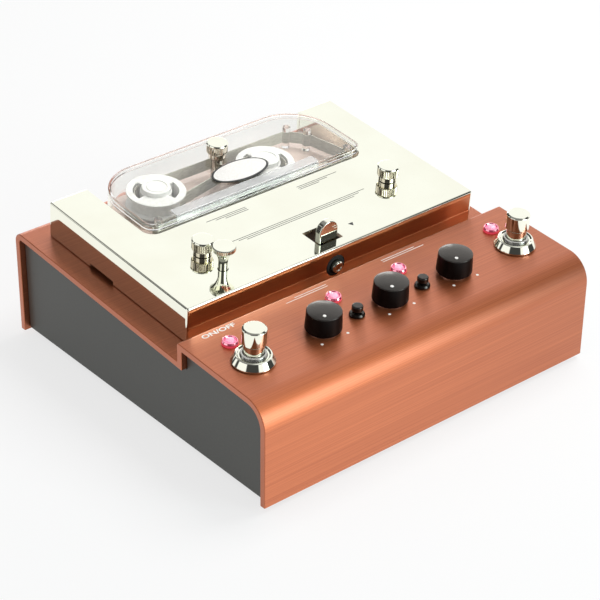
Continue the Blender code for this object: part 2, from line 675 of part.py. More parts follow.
def build_controls(finishes, panel_frame):
    underside = -SHELL_SHEET - GAP
    pot = [
        (0, underside - POT_BODY_HEIGHT),
        (POT_BODY_RADIUS, underside - POT_BODY_HEIGHT),
        (POT_BODY_RADIUS, underside),
        (POT_BUSH_RADIUS, underside),
        (POT_BUSH_RADIUS, POT_BUSH_TOP),
        (POT_SHAFT_RADIUS, POT_BUSH_TOP),
        (POT_SHAFT_RADIUS, POT_SHAFT_TOP),
        (0, POT_SHAFT_TOP),
    ]
    bore = POT_SHAFT_RADIUS + GAP
    knob = [
        (KNOB_HOLLOW_RADIUS, KNOB_LIFT),
        (KNOB_RADIUS, KNOB_LIFT),
        (KNOB_RADIUS, KNOB_LIP_HEIGHT),
        (KNOB_LIP_RADIUS, KNOB_LIP_HEIGHT + KNOB_EDGE / 2),
        (KNOB_TOP_RADIUS, KNOB_TOP - KNOB_EDGE),
        (KNOB_TOP_RADIUS - KNOB_EDGE / 4, KNOB_TOP - KNOB_EDGE / 3),
        (KNOB_TOP_RADIUS - KNOB_EDGE, KNOB_TOP),
        (0, KNOB_TOP - KNOB_DISH),
        (0, POT_SHAFT_TOP + GAP),
        (bore, POT_SHAFT_TOP + GAP),
        (bore, KNOB_HOLLOW_HEIGHT),
        (KNOB_HOLLOW_RADIUS, KNOB_HOLLOW_HEIGHT),
    ]
    for name, share in zip(KNOBS, KNOB_SHARES):
        place = on_panel(share, CONTROL_ROW)
        add_piece(f"{name}_pot", turned(pot, MEDIUM), finishes["aluminium"], panel_frame, place)
        add_piece(f"{name}_knob", turned(knob, FINE), finishes["black"], panel_frame, place)

    housing = [
        (0, -BUTTON_BODY_DEPTH),
        (BUTTON_NECK_RADIUS, -BUTTON_BODY_DEPTH),
        (BUTTON_NECK_RADIUS, GAP),
        (BUTTON_FLANGE_RADIUS, GAP),
        (BUTTON_FLANGE_RADIUS, BUTTON_FLANGE_HEIGHT / 2),
        (BUTTON_FLANGE_TOP_RADIUS, BUTTON_FLANGE_HEIGHT),
        (BUTTON_BORE_RADIUS, BUTTON_FLANGE_HEIGHT),
        (BUTTON_BORE_RADIUS, -BUTTON_WELL_DEPTH),
        (0, -BUTTON_WELL_DEPTH),
    ]
    stem = BUTTON_BORE_RADIUS - GAP
    cap = [
        (0, -BUTTON_STEM_DEPTH),
        (stem, -BUTTON_STEM_DEPTH),
        (stem, BUTTON_CAP_BOTTOM),
        (BUTTON_CAP_RADIUS, BUTTON_CAP_BOTTOM),
        (BUTTON_CAP_RADIUS, BUTTON_CAP_TOP - BUTTON_CAP_EDGE),
        (BUTTON_CAP_RADIUS - BUTTON_CAP_EDGE, BUTTON_CAP_TOP),
        (0, BUTTON_CAP_TOP),
    ]
    for name, share in zip(BUTTONS, BUTTON_SHARES):
        place = on_panel(share, CONTROL_ROW)
        add_piece(f"{name}_button_housing", turned(housing, COARSE), finishes["black"], panel_frame, place)
        add_piece(f"{name}_button", turned(cap, COARSE), finishes["black"], panel_frame, place)

    lamp = [
        (0, -LED_BODY_DEPTH),
        (LED_BODY_RADIUS, -LED_BODY_DEPTH),
        (LED_BODY_RADIUS, GAP),
        (LED_BEZEL_RADIUS, GAP),
        (LED_BEZEL_RADIUS, LED_BEZEL_HEIGHT / 2),
        (LED_BEZEL_TOP_RADIUS, LED_BEZEL_HEIGHT),
        (LED_LENS_RADIUS, LED_BEZEL_HEIGHT),
    ]
    dome = LED_LENS_TOP - LED_BEZEL_HEIGHT
    for k in range(1, 4):
        angle = math.pi / 2 * k / 4
        lamp.append((LED_LENS_RADIUS * math.cos(angle), LED_BEZEL_HEIGHT + dome * math.sin(angle)))
    lamp.append((0, LED_LENS_TOP))
    for name, share in zip(LEDS, LED_SHARES):
        place = on_panel(share, LED_ROW)
        add_piece(f"{name}_led", turned(lamp, COARSE), finishes["lamp"], panel_frame, place)


def build_footswitches(finishes, panel_frame):
    underside = -SHELL_SHEET - GAP
    box = SWITCH_BOX / 2
    well = PLUNGER_NECK_RADIUS + GAP
    nut = [
        (SWITCH_BUSH_RADIUS + GAP, GAP),
        (NUT_BASE_RADIUS, GAP),
        (NUT_BASE_RADIUS, NUT_FLAT_HEIGHT),
        (NUT_TOP_RADIUS, NUT_HEIGHT),
        (SWITCH_BUSH_RADIUS + GAP, NUT_HEIGHT),
    ]
    plunger = [
        (0, -PLUNGER_DEPTH),
        (PLUNGER_NECK_RADIUS, -PLUNGER_DEPTH),
        (PLUNGER_NECK_RADIUS, PLUNGER_CAP_BOTTOM),
        (PLUNGER_CAP_RADIUS, PLUNGER_CAP_BOTTOM + PLUNGER_EDGE),
        (PLUNGER_CAP_RADIUS, PLUNGER_TOP - PLUNGER_EDGE),
        (PLUNGER_CAP_RADIUS - PLUNGER_EDGE, PLUNGER_TOP),
        (0, PLUNGER_TOP),
    ]
    for name, share in zip(FOOTSWITCHES, FOOTSWITCH_SHARES):
        place = on_panel(share, CONTROL_ROW)
        body = block((-box, -box, underside - SWITCH_BOX_HEIGHT), (box, box, underside))
        switch = add_piece(f"{name}_footswitch", body, finishes["steel"], panel_frame, place)
        bush = rod(SWITCH_BUSH_RADIUS, underside - SWITCH_BOX_HEIGHT / 2, SWITCH_BUSH_TOP)
        combine(switch, "UNION", f"{name}_bush", bush)
        bore = rod(well, -SWITCH_WELL_DEPTH, SWITCH_BUSH_TOP + CUT_OVERRUN)
        combine(switch, "DIFFERENCE", f"{name}_bore", bore)
        add_piece(f"{name}_nut", turned(nut, FINE), finishes["mirror"], panel_frame, place)
        add_piece(f"{name}_plunger", turned(plunger, FINE), finishes["mirror"], panel_frame, place)


def cartridge_corners(grow=0):
    """The cartridge's outline in the deck, grown by a clearance."""
    half = CARTRIDGE_WIDTH / 2 + grow
    front = CARTRIDGE_FRONT - grow
    rear = CARTRIDGE_REAR + grow
    return [
        ((-half, front), CARTRIDGE_FRONT_RADIUS + grow),
        ((half, front), CARTRIDGE_FRONT_RADIUS + grow),
        ((half, rear), CARTRIDGE_REAR_RADIUS + grow),
        ((-half, rear), CARTRIDGE_REAR_RADIUS + grow),
    ]


def build_cover(finishes, deck_frame):
    half = COVER_WIDTH / 2
    body = block((-half, COVER_FRONT, GAP), (half, COVER_REAR, COVER_HEIGHT))
    upper = [edge for edge in body.edges if max(v.co.z for v in edge.verts) > COVER_HEIGHT / 2]
    bmesh.ops.bevel(body, geom=upper, offset=COVER_EDGE, segments=2, profile=0.5, affect="EDGES")
    cover = add_piece("deck_cover", body, finishes["mirror"], deck_frame, smooth=False)
    inside = half - COVER_SHEET
    inner_front = COVER_FRONT + COVER_SHEET
    inner_rear = COVER_REAR - COVER_SHEET
    hollow = block((-inside, inner_front, -CUT_OVERRUN), (inside, inner_rear, COVER_UNDERSIDE))
    combine(cover, "DIFFERENCE", "cover_hollow", hollow)
    notch = cartridge_corners(NOTCH_CLEARANCE)[:2]
    reach = CARTRIDGE_WIDTH / 2 + NOTCH_CLEARANCE
    behind = COVER_REAR + CUT_OVERRUN
    notch += [((reach, behind), 0), ((-reach, behind), 0)]
    top = COVER_HEIGHT + CUT_OVERRUN
    combine(cover, "DIFFERENCE", "cartridge_notch", slab(rounded(notch), -CUT_OVERRUN, top))

    low = COVER_UNDERSIDE - CUT_OVERRUN
    slot_left = SLOT_COLUMN - SLOT_WIDTH / 2
    holes = block((slot_left, SLOT_FRONT, low), (slot_left + SLOT_WIDTH, SLOT_REAR, top))
    screw_hole = COVER_SHANK_RADIUS + GAP
    rod(screw_hole, low, top, COARSE, "Z", (LEFT_SCREW_COLUMN, COVER_SCREW_ROW, 0), holes)
    rod(screw_hole, low, top, COARSE, "Z", (RIGHT_SCREW_COLUMN, COVER_SCREW_ROW, 0), holes)
    stem_hole = RELEASE_STEM_RADIUS + GAP
    rod(stem_hole, low, top, COARSE, "Z", (LEFT_SCREW_COLUMN, RELEASE_ROW, 0), holes)
    front_low = COVER_FRONT - CUT_OVERRUN
    front_high = COVER_FRONT + COVER_SHEET + CUT_OVERRUN
    rod(FRONT_HOLE_RADIUS, front_low, front_high, MEDIUM, "Y", (0, 0, FRONT_SCREW_HEIGHT), holes)
    combine(cover, "DIFFERENCE", "cover_holes", holes)
    vents = block((-half - CUT_OVERRUN, VENT_FRONT, -CUT_OVERRUN), (half + CUT_OVERRUN, VENT_REAR, VENT_HEIGHT))
    combine(cover, "DIFFERENCE", "cover_vents", vents)


def build_deck_plate(finishes, deck_frame):
    half = DECK_WIDTH / 2
    inner_front = DECK_FRONT + DECK_SHEET
    inner_rear = DECK_REAR - DECK_SHEET
    section = [
        (DECK_FRONT, GAP),
        (inner_front, GAP),
        (inner_front, DECK_UNDERSIDE),
        (inner_rear, DECK_UNDERSIDE),
        (inner_rear, GAP),
        (DECK_REAR, GAP),
        (DECK_REAR, DECK_TOP),
        (DECK_FRONT, DECK_TOP),
    ]
    plate = slab(section, -half, half, "X")
    plate = add_piece("deck_plate", plate, finishes["aluminium"], deck_frame, smooth=False)
    raised = block((-TAB_WIDTH / 2, DECK_FRONT, DECK_UNDERSIDE), (TAB_WIDTH / 2, inner_front, TAB_TOP))
    boss_top = COVER_UNDERSIDE - GAP
    for column in (LEFT_SCREW_COLUMN, RIGHT_SCREW_COLUMN):
        place = (column, COVER_SCREW_ROW, 0)
        rod(BOSS_RADIUS, DECK_UNDERSIDE + DECK_SHEET / 2, boss_top, MEDIUM, "Z", place, raised)
    combine(plate, "UNION", "deck_bosses", raised)

    low = DECK_UNDERSIDE - CUT_OVERRUN
    high = DECK_TOP + CUT_OVERRUN
    holes = bmesh.new()
    for column in (LEFT_SCREW_COLUMN, RIGHT_SCREW_COLUMN):
        place = (column, COVER_SCREW_ROW, 0)
        rod(COVER_SHANK_RADIUS + GAP, low, boss_top + CUT_OVERRUN, COARSE, "Z", place, holes)
    rod(RELEASE_STEM_RADIUS + GAP, low, high, COARSE, "Z", (LEFT_SCREW_COLUMN, RELEASE_ROW, 0), holes)
    rod(BEARING_RADIUS + GAP, low, high, MEDIUM, "Z", (CAPSTAN_COLUMN, CAPSTAN_ROW, 0), holes)
    rod(ARM_PIN_RADIUS + GAP, low, high, COARSE, "Z", (ARM_PIVOT_COLUMN, ARM_PIVOT_ROW, 0), holes)
    combine(plate, "DIFFERENCE", "deck_holes", holes)
    across = rod(
        FRONT_SCREW_SHANK_RADIUS + GAP,
        DECK_FRONT - CUT_OVERRUN,
        LEVER_FRONT,
        COARSE,
        "Y",
        (0, 0, FRONT_SCREW_HEIGHT),
    )
    combine(plate, "DIFFERENCE", "deck_front_hole", across)


def thumbscrew(shank_radius, shank_depth):
    """A thumb screw whose neck sits on z = 0, turned about Z."""
    head_bottom = SCREW_NECK_HEIGHT
    head_top = head_bottom + SCREW_HEAD_HEIGHT
    return turned(
        [
            (0, -shank_depth),
            (shank_radius, -shank_depth),
            (shank_radius, 0),
            (SCREW_NECK_RADIUS, 0),
            (SCREW_NECK_RADIUS, head_bottom),
            (SCREW_HEAD_RADIUS, head_bottom),
            (SCREW_HEAD_RADIUS, head_top - SCREW_EDGE),
            (SCREW_HEAD_RADIUS - SCREW_EDGE, head_top),
            (0, head_top),
        ],
        MEDIUM,
    )


def build_deck_hardware(finishes, deck_frame):
    seat = COVER_HEIGHT + GAP
    for side, column in (("left", LEFT_SCREW_COLUMN), ("right", RIGHT_SCREW_COLUMN)):
        place = (column, COVER_SCREW_ROW, seat)
        shape = thumbscrew(COVER_SHANK_RADIUS, COVER_SHANK_DEPTH)
        add_piece(f"cover_thumbscrew_{side}", shape, finishes["mirror"], deck_frame, place)

    top = COVER_HEIGHT + RELEASE_TOP
    rim = top - RELEASE_RIM
    collar_top = DECK_UNDERSIDE - GAP
    collar_bottom = collar_top - RELEASE_COLLAR_HEIGHT
    knob = [
        (0, collar_bottom),
        (RELEASE_COLLAR_RADIUS, collar_bottom),
        (RELEASE_COLLAR_RADIUS, collar_top),
        (RELEASE_STEM_RADIUS, collar_top),
    ]
    flare_steps = 4
    for k in range(flare_steps + 1):
        share = k / flare_steps
        radius = RELEASE_STEM_RADIUS + (RELEASE_HEAD_RADIUS - RELEASE_STEM_RADIUS) * share**2
        knob.append((radius, rim - RELEASE_TAPER * (1 - share)))
    knob += [
        (RELEASE_HEAD_RADIUS, top - SCREW_EDGE),
        (RELEASE_HEAD_RADIUS - SCREW_EDGE, top),
        (0, top),
    ]
    place = (LEFT_SCREW_COLUMN, RELEASE_ROW, 0)
    add_piece("release_knob", turned(knob, MEDIUM), finishes["mirror"], deck_frame, place)

    low = DECK_TOP + GAP
    rise = COVER_HEIGHT + LEVER_RISE
    half = LEVER_WIDTH / 2
    foot = LEVER_FOOT_WIDTH / 2
    outline = rounded(
        [
            ((-foot, low), 0),
            ((foot, low), 0),
            ((foot, low + LEVER_FOOT_HEIGHT), 0),
            ((half, low + LEVER_FOOT_HEIGHT), 0),
            ((half, rise), half),
            ((-half, rise), half),
            ((-half, low + LEVER_FOOT_HEIGHT), 0),
            ((-foot, low + LEVER_FOOT_HEIGHT), 0),
        ],
        8,
    )
    shape = slab(outline, 0, LEVER_THICKNESS, "Y")
    add_piece("lock_lever", shape, finishes["mirror"], deck_frame, (0, LEVER_FRONT, 0))

    head_back = COVER_FRONT + COVER_SHEET
    head_front = COVER_FRONT - FRONT_SCREW_PROUD
    shank_end = LEVER_FRONT - GAP
    screw = [
        (0, head_front),
        (FRONT_SCREW_RADIUS - SCREW_EDGE, head_front),
        (FRONT_SCREW_RADIUS, head_front + SCREW_EDGE),
        (FRONT_SCREW_RADIUS, head_back),
        (FRONT_SCREW_SHANK_RADIUS, head_back),
        (FRONT_SCREW_SHANK_RADIUS, shank_end),
        (0, shank_end),
    ]
    place = (0, 0, FRONT_SCREW_HEIGHT)
    add_piece("front_screw", turned(screw, MEDIUM, "Y"), finishes["mirror"], deck_frame, place)

    pillar_bottom = DECK_TOP + GAP
    pillar_top = LID_UNDERSIDE - GAP
    bore = PILLAR_SHANK_RADIUS + GAP
    bore_bottom = CARTRIDGE_TOP - PILLAR_SHANK_DEPTH - GAP
    pillar = [
        (0, pillar_bottom),
        (PILLAR_RADIUS, pillar_bottom),
        (PILLAR_RADIUS, pillar_top),
        (bore, pillar_top),
        (bore, bore_bottom),
        (0, bore_bottom),
    ]
    place = (PILLAR_COLUMN, PILLAR_ROW, 0)
    add_piece("cartridge_pillar", turned(pillar, COARSE), finishes["steel"], deck_frame, place)


def build_heads(finishes, deck_frame):
    low = DECK_TOP + GAP
    nose = TAPE_RUN - TAPE_OFFSET
    half = HEAD_WIDTH / 2
    outline = rounded(
        [
            ((-half, nose - HEAD_LENGTH), 0),
            ((half, nose - HEAD_LENGTH), 0),
            ((half, nose), HEAD_NOSE),
            ((-half, nose), HEAD_NOSE),
        ],
        4,
    )
    for i, name in enumerate(("erase_head", "record_head", "short_playback_head", "long_playback_head")):
        place = (ERASE_HEAD_COLUMN + i * HEAD_PITCH, 0, 0)
        add_piece(name, slab(outline, low, HEAD_TOP), finishes["steel"], deck_frame, place)


def build_drive(finishes, deck_frame):
    flange_top = DECK_UNDERSIDE - GAP
    bore = CAPSTAN_RADIUS + GAP
    bearing = [
        (bore, BEARING_BOTTOM),
        (BEARING_RADIUS, BEARING_BOTTOM),
        (BEARING_RADIUS, flange_top - BEARING_FLANGE),
        (BEARING_FLANGE_RADIUS, flange_top - BEARING_FLANGE),
        (BEARING_FLANGE_RADIUS, flange_top),
        (BEARING_RADIUS, flange_top),
        (BEARING_RADIUS, DECK_TOP),
        (bore, DECK_TOP),
    ]
    capstan = (CAPSTAN_COLUMN, CAPSTAN_ROW, 0)
    add_piece("capstan_bearing", turned(bearing, MEDIUM), finishes["brass"], deck_frame, capstan)
    wheel_bottom = FLYWHEEL_TOP - FLYWHEEL_HEIGHT
    wheel = [
        (bore, wheel_bottom),
        (FLYWHEEL_RADIUS, wheel_bottom),
        (FLYWHEEL_RADIUS, FLYWHEEL_TOP),
        (bore, FLYWHEEL_TOP),
    ]
    add_piece("flywheel", turned(wheel, FINE), finishes["brass"], deck_frame, capstan)
    shaft = rod(CAPSTAN_RADIUS, wheel_bottom, CAPSTAN_TOP, COARSE)
    add_piece("capstan_shaft", shaft, finishes["steel"], deck_frame, capstan)

    motor_place = (MOTOR_COLUMN, MOTOR_ROW, 0)
    motor_top = DECK_UNDERSIDE - GAP
    motor_bore = MOTOR_SHAFT_RADIUS + GAP
    can = [
        (0, motor_top),
        (MOTOR_RADIUS, motor_top),
        (MOTOR_RADIUS, MOTOR_BOTTOM),
        (motor_bore, MOTOR_BOTTOM),
        (motor_bore, MOTOR_BOTTOM + MOTOR_SHAFT_DEPTH),
        (0, MOTOR_BOTTOM + MOTOR_SHAFT_DEPTH),
    ]
    add_piece("motor", turned(can, MEDIUM), finishes["steel"], deck_frame, motor_place)
    pulley = [
        (0, wheel_bottom),
        (PULLEY_RADIUS, wheel_bottom),
        (PULLEY_RADIUS, FLYWHEEL_TOP),
        (MOTOR_SHAFT_RADIUS, FLYWHEEL_TOP),
        (MOTOR_SHAFT_RADIUS, MOTOR_BOTTOM + MOTOR_SHAFT_DEPTH - GAP),
        (0, MOTOR_BOTTOM + MOTOR_SHAFT_DEPTH - GAP),
    ]
    add_piece("motor_pulley", turned(pulley, MEDIUM), finishes["brass"], deck_frame, motor_place)
    offset = GAP + BELT_THICKNESS / 2
    path = belt_path(
        [
            (MOTOR_COLUMN, MOTOR_ROW, PULLEY_RADIUS + offset, 1),
            (CAPSTAN_COLUMN, CAPSTAN_ROW, FLYWHEEL_RADIUS + offset, 1),
        ],
        48,
    )
    middle = (wheel_bottom + FLYWHEEL_TOP) / 2
    belt = band(path, BELT_THICKNESS, middle - BELT_WIDTH / 2, middle + BELT_WIDTH / 2)
    add_piece("drive_belt", belt, finishes["rubber"], deck_frame)

    low = DECK_TOP + GAP
    reach_x = CAPSTAN_COLUMN - ARM_PIVOT_COLUMN
    reach_y = ROLLER_ROW - ARM_PIVOT_ROW
    along = Vector((reach_x, reach_y)).normalized()
    side = Vector((-along.y, along.x))
    start = Vector((0, 0))
    end = Vector((reach_x, reach_y))
    corners = [
        start - (along + side) * ARM_RADIUS,
        end + (along - side) * ARM_RADIUS,
        end + (along + side) * ARM_RADIUS,
        start - (along - side) * ARM_RADIUS,
    ]
    outline = rounded([(tuple(c), ARM_CORNER_RADIUS) for c in corners], 5)
    arm_place = (ARM_PIVOT_COLUMN, ARM_PIVOT_ROW, 0)
    shape = slab(outline, low, low + ARM_SHEET)
    arm = add_piece("pinch_arm", shape, finishes["steel"], deck_frame, arm_place)
    middle = low + ARM_SHEET / 2
    roller_bottom = low + ARM_SHEET + GAP
    roller_top = roller_bottom + ROLLER_HEIGHT
    pins = rod(ARM_PIN_RADIUS, DECK_UNDERSIDE, middle, COARSE)
    rod(ROLLER_PIN_RADIUS, middle, roller_top, COARSE, "Z", (reach_x, reach_y, 0), pins)
    combine(arm, "UNION", "arm_pins", pins)
    ring = [
        (ROLLER_PIN_RADIUS + GAP, roller_bottom),
        (ROLLER_RADIUS, roller_bottom),
        (ROLLER_RADIUS, roller_top),
        (ROLLER_PIN_RADIUS + GAP, roller_top),
    ]
    place = (CAPSTAN_COLUMN, ROLLER_ROW, 0)
    add_piece("pinch_roller", turned(ring, MEDIUM), finishes["rubber"], deck_frame, place)


def guides():
    """The clear posts that the tape runs round, as (x, y) places."""
    return [
        (GUIDE_LEFT_COLUMN, GUIDE_ROW),
        (GUIDE_RIGHT_COLUMN, GUIDE_ROW),
        (RETURN_GUIDE_COLUMN, RETURN_GUIDE_ROW),
        (CORNER_GUIDE_COLUMN, CORNER_GUIDE_ROW),
    ]


def tray(outline, floor, rim, wall, sheet):
    """A tray: an outline with a floor at one level and a wall up or down to the rim."""
    shape = slab(outline, floor, rim)
    shape.faces.ensure_lookup_table()
    top = max(shape.faces, key=lambda f: (f.calc_center_median().z - floor) * (1 if rim > floor else -1))
    bmesh.ops.recalc_face_normals(shape, faces=shape.faces)
    bmesh.ops.inset_region(shape, faces=[top], thickness=wall, use_even_offset=True)
    depth = floor + (sheet if rim > floor else -sheet) - rim
    grown = bmesh.ops.extrude_face_region(shape, geom=[top])
    bmesh.ops.delete(shape, geom=[top], context="FACES")
    verts = [item for item in grown["geom"] if isinstance(item, bmesh.types.BMVert)]
    bmesh.ops.translate(shape, verts=verts, vec=(0, 0, depth))
    return shape


def build_cartridge(finishes, deck_frame):
    outline = rounded(cartridge_corners(), 7)
    bottom = DECK_TOP + GAP
    base = add_piece(
        "cartridge_base",
        tray(outline, bottom, CARTRIDGE_SEAM - GAP / 2, CARTRIDGE_WALL, CARTRIDGE_FLOOR),
        finishes["clear"],
        deck_frame,
    )
    root = bottom + CARTRIDGE_FLOOR / 2
    posts = bmesh.new()
    post_top = LID_UNDERSIDE - GAP
    for x, y in guides():
        rod(GUIDE_RADIUS, root, post_top, COARSE, "Z", (x, y, 0), posts)
    spindle_top = TAPE_TOP + GAP + REEL_FLANGE + BOSS_RING_RISE
    reels = ((LEFT_REEL_COLUMN, LEFT_REEL_ROW), (RIGHT_REEL_COLUMN, RIGHT_REEL_ROW))
    for x, y in reels:
        rod(SPINDLE_RADIUS, root, spindle_top, COARSE, "Z", (x, y, 0), posts)
    combine(base, "UNION", "base_posts", posts)
    window = block(
        (WINDOW_LEFT, CARTRIDGE_FRONT - CUT_OVERRUN, bottom - CUT_OVERRUN),
        (WINDOW_RIGHT, CARTRIDGE_FRONT + WINDOW_DEPTH, WINDOW_TOP),
    )
    pillar_hole = PILLAR_RADIUS + GAP
    pillar_place = (PILLAR_COLUMN, PILLAR_ROW, 0)
    rod(pillar_hole, bottom - CUT_OVERRUN, FLOOR + CUT_OVERRUN, COARSE, "Z", pillar_place, window)
    combine(base, "DIFFERENCE", "base_openings", window)

    lid = add_piece(
        "cartridge_lid",
        tray(outline, CARTRIDGE_TOP, CARTRIDGE_SEAM + GAP / 2, CARTRIDGE_WALL, CARTRIDGE_WALL),
        finishes["clear"],
        deck_frame,
    )
    hole = rod(
        PILLAR_SHANK_RADIUS + GAP,
        LID_UNDERSIDE - CUT_OVERRUN,
        CARTRIDGE_TOP + CUT_OVERRUN,
        COARSE,
        "Z",
        pillar_place,
    )
    combine(lid, "DIFFERENCE", "lid_hole", hole)

    oval = [(x * BADGE_LENGTH / 2, y * BADGE_WIDTH / 2) for x, y in circle(1, FINE)]
    seat = CARTRIDGE_TOP + GAP
    badge = slab(oval, seat, seat + BADGE_SHEET)
    add_piece("cartridge_badge", badge, finishes["white"], deck_frame, (0, BADGE_ROW, 0))
    screw = thumbscrew(PILLAR_SHANK_RADIUS, PILLAR_SHANK_DEPTH)
    place = (PILLAR_COLUMN, PILLAR_ROW, seat)
    add_piece("cartridge_thumbscrew", screw, finishes["mirror"], deck_frame, place)

    flange_top = REEL_BOTTOM + REEL_FLANGE
    upper = TAPE_TOP + GAP
    top = upper + REEL_FLANGE
    bore = SPINDLE_RADIUS + GAP
    reel = [
        (bore, REEL_BOTTOM),
        (REEL_RADIUS, REEL_BOTTOM),
        (REEL_RADIUS, flange_top),
        (DRUM_RADIUS, flange_top),
        (DRUM_RADIUS, upper),
        (REEL_RADIUS, upper),
        (REEL_RADIUS, top),
        (HUB_RADIUS, top),
        (HUB_RADIUS, top + HUB_RISE),
        (BOSS_RING_RADIUS, top + HUB_RISE),
        (BOSS_RING_RADIUS, top + BOSS_RING_RISE),
        (bore, top + BOSS_RING_RISE),
    ]
    for name, (x, y) in zip(("left_reel", "right_reel"), reels):
        piece = add_piece(name, turned(reel, FINE), finishes["white"], deck_frame, (x, y, 0))
        windows = bmesh.new()
        for k in range(REEL_WINDOW_COUNT):
            middle = math.tau * k / REEL_WINDOW_COUNT
            sector = []
            for radius, ends in ((REEL_WINDOW_INNER, (-0.5, 0.5)), (REEL_WINDOW_OUTER, (0.5, -0.5))):
                for m in range(7):
                    share = ends[0] + (ends[1] - ends[0]) * m / 6
                    angle = middle + REEL_WINDOW_ANGLE * share
                    sector.append((radius * math.cos(angle), radius * math.sin(angle)))
            slab(sector, REEL_BOTTOM - CUT_OVERRUN, top + CUT_OVERRUN, "Z", windows)
        combine(piece, "DIFFERENCE", f"{name}_windows", windows)

    around = [(x, y, GUIDE_RADIUS + TAPE_OFFSET, 1) for x, y in guides()]
    left, right = [(x, y, DRUM_RADIUS + TAPE_OFFSET, turn) for (x, y), turn in zip(reels, (1, -1))]
    path = belt_path(around + [left, right], 32)
    add_piece("tape_loop", band(path, TAPE_THICKNESS, TAPE_BOTTOM, TAPE_TOP), finishes["tape"], deck_frame)


def build_unit():
    clear_scene()
    finishes = make_finishes()
    panel_frame = add_frame("panel_frame", (0, FRONT_Y, FOOT_STANDOFF + FRONT_HEIGHT), PANEL_SLOPE)
    ledge = (0, FRONT_Y + STEP_DEPTH, FOOT_STANDOFF + LEDGE_FRONT_HEIGHT)
    deck_frame = add_frame("deck_frame", ledge, DECK_SLOPE)
    build_chassis(finishes, panel_frame, deck_frame)
    build_electronics(finishes)
    build_controls(finishes, panel_frame)
    build_footswitches(finishes, panel_frame)
    build_cover(finishes, deck_frame)
    build_deck_plate(finishes, deck_frame)
    build_deck_hardware(finishes, deck_frame)
    build_heads(finishes, deck_frame)
    build_drive(finishes, deck_frame)
    build_cartridge(finishes, deck_frame)


build_unit()
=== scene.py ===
"""Tape echo unit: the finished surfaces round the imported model. Lengths are millimetres, and make_piece
scales each finished mesh to metres."""

import json
import math

import bmesh
import bpy
import numpy as np
from mathutils import Matrix, Vector

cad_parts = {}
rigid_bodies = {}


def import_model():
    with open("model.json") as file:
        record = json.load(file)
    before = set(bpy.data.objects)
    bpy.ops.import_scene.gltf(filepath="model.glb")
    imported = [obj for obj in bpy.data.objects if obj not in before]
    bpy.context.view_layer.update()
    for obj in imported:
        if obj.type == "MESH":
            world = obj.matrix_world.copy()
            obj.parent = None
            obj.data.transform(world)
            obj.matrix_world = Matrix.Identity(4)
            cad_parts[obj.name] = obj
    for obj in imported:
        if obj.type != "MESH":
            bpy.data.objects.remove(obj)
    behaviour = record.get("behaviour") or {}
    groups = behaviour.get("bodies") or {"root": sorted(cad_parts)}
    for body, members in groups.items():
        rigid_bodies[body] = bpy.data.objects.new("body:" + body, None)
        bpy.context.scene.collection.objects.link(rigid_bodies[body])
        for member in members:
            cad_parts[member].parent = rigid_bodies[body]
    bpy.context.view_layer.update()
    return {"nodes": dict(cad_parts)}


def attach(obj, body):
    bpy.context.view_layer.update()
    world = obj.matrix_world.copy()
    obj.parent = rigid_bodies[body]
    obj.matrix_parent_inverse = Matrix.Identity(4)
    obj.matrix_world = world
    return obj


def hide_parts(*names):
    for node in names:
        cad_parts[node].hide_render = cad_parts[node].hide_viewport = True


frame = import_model()

MM = 0.001
SMOOTH_ANGLE = math.radians(32)

# The straight run before and after each rounding, which keeps the flat faces flat in the shading
RUN = 0.02

# How far a cut reaches below and above the outer face of the sheet that it goes through
THROUGH = (-5, 1)

# Casing, with depths from its front and heights from its bottom edge, which is BOTTOM above the ground
FRONT_Y = -97.25
BOTTOM = 2.5
SHELL_HALF = 100.0
SHELL_DEPTH = 192.0
SHELL_SHEET = 3.2
STEP_DEPTH = 62.2
FRONT_HEIGHT = 52.4
STEP_HEIGHT = 56.1
LEDGE_FRONT = 46.1
LEDGE_REAR = 55.9
FRONT_RADIUS = 13.0
STEP_RADIUS = 1.2
REAR_RADIUS = 5.0
PANEL_RISE = (STEP_HEIGHT - FRONT_HEIGHT) / STEP_DEPTH
LEDGE_RISE = (LEDGE_REAR - LEDGE_FRONT) / (SHELL_DEPTH - STEP_DEPTH)
PANEL_SLOPE = math.atan(PANEL_RISE)
LEDGE_SLOPE = math.atan(LEDGE_RISE)
REAR_FACE = FRONT_Y + SHELL_DEPTH
JACK_LEVEL = 30.5
CHEEK_FACE = 97.0
CHEEK_SHEET = 2.0
BASE_LEVEL = 1.2
BASE_SHEET = 2.0
FIT = 0.3
DECK_OPENING = (-63, 63, 15.2, 108)
FOOT_COLUMNS = {"left": -84.0, "right": 84.0}
FOOT_ROWS = {"front": 16.0, "rear": 176.0}

# Control panel and rear, with the radius of each kind of hole. A knob's pointer is a dot beside its middle,
# which faces the left end dot while the knob is turned fully down.
CONTROL_ROW = 31.5
LED_ROW = 48.0
KNOBS = {"level": -40.5, "feedback": 0.0, "time": 40.5}
BUTTONS = {"short": -20.25, "long": 20.25}
FOOTSWITCHES = {"on": -81.0, "tap": 81.0}
LAMPS = {"power": -81.0, "short": -20.25, "long": 20.25, "tap": 81.0}
SOCKETS = {"input": 55.0, "output": 25.0}
INLET = -50.0
POINTER = (-3.34, -3.98)
KNOB_HOLE = 3.8
BUTTON_HOLE = 3.1
SWITCH_HOLE = 6.3
LAMP_HOLE = 3.3
SOCKET_HOLE = 5.8
INLET_HOLE = 5.3

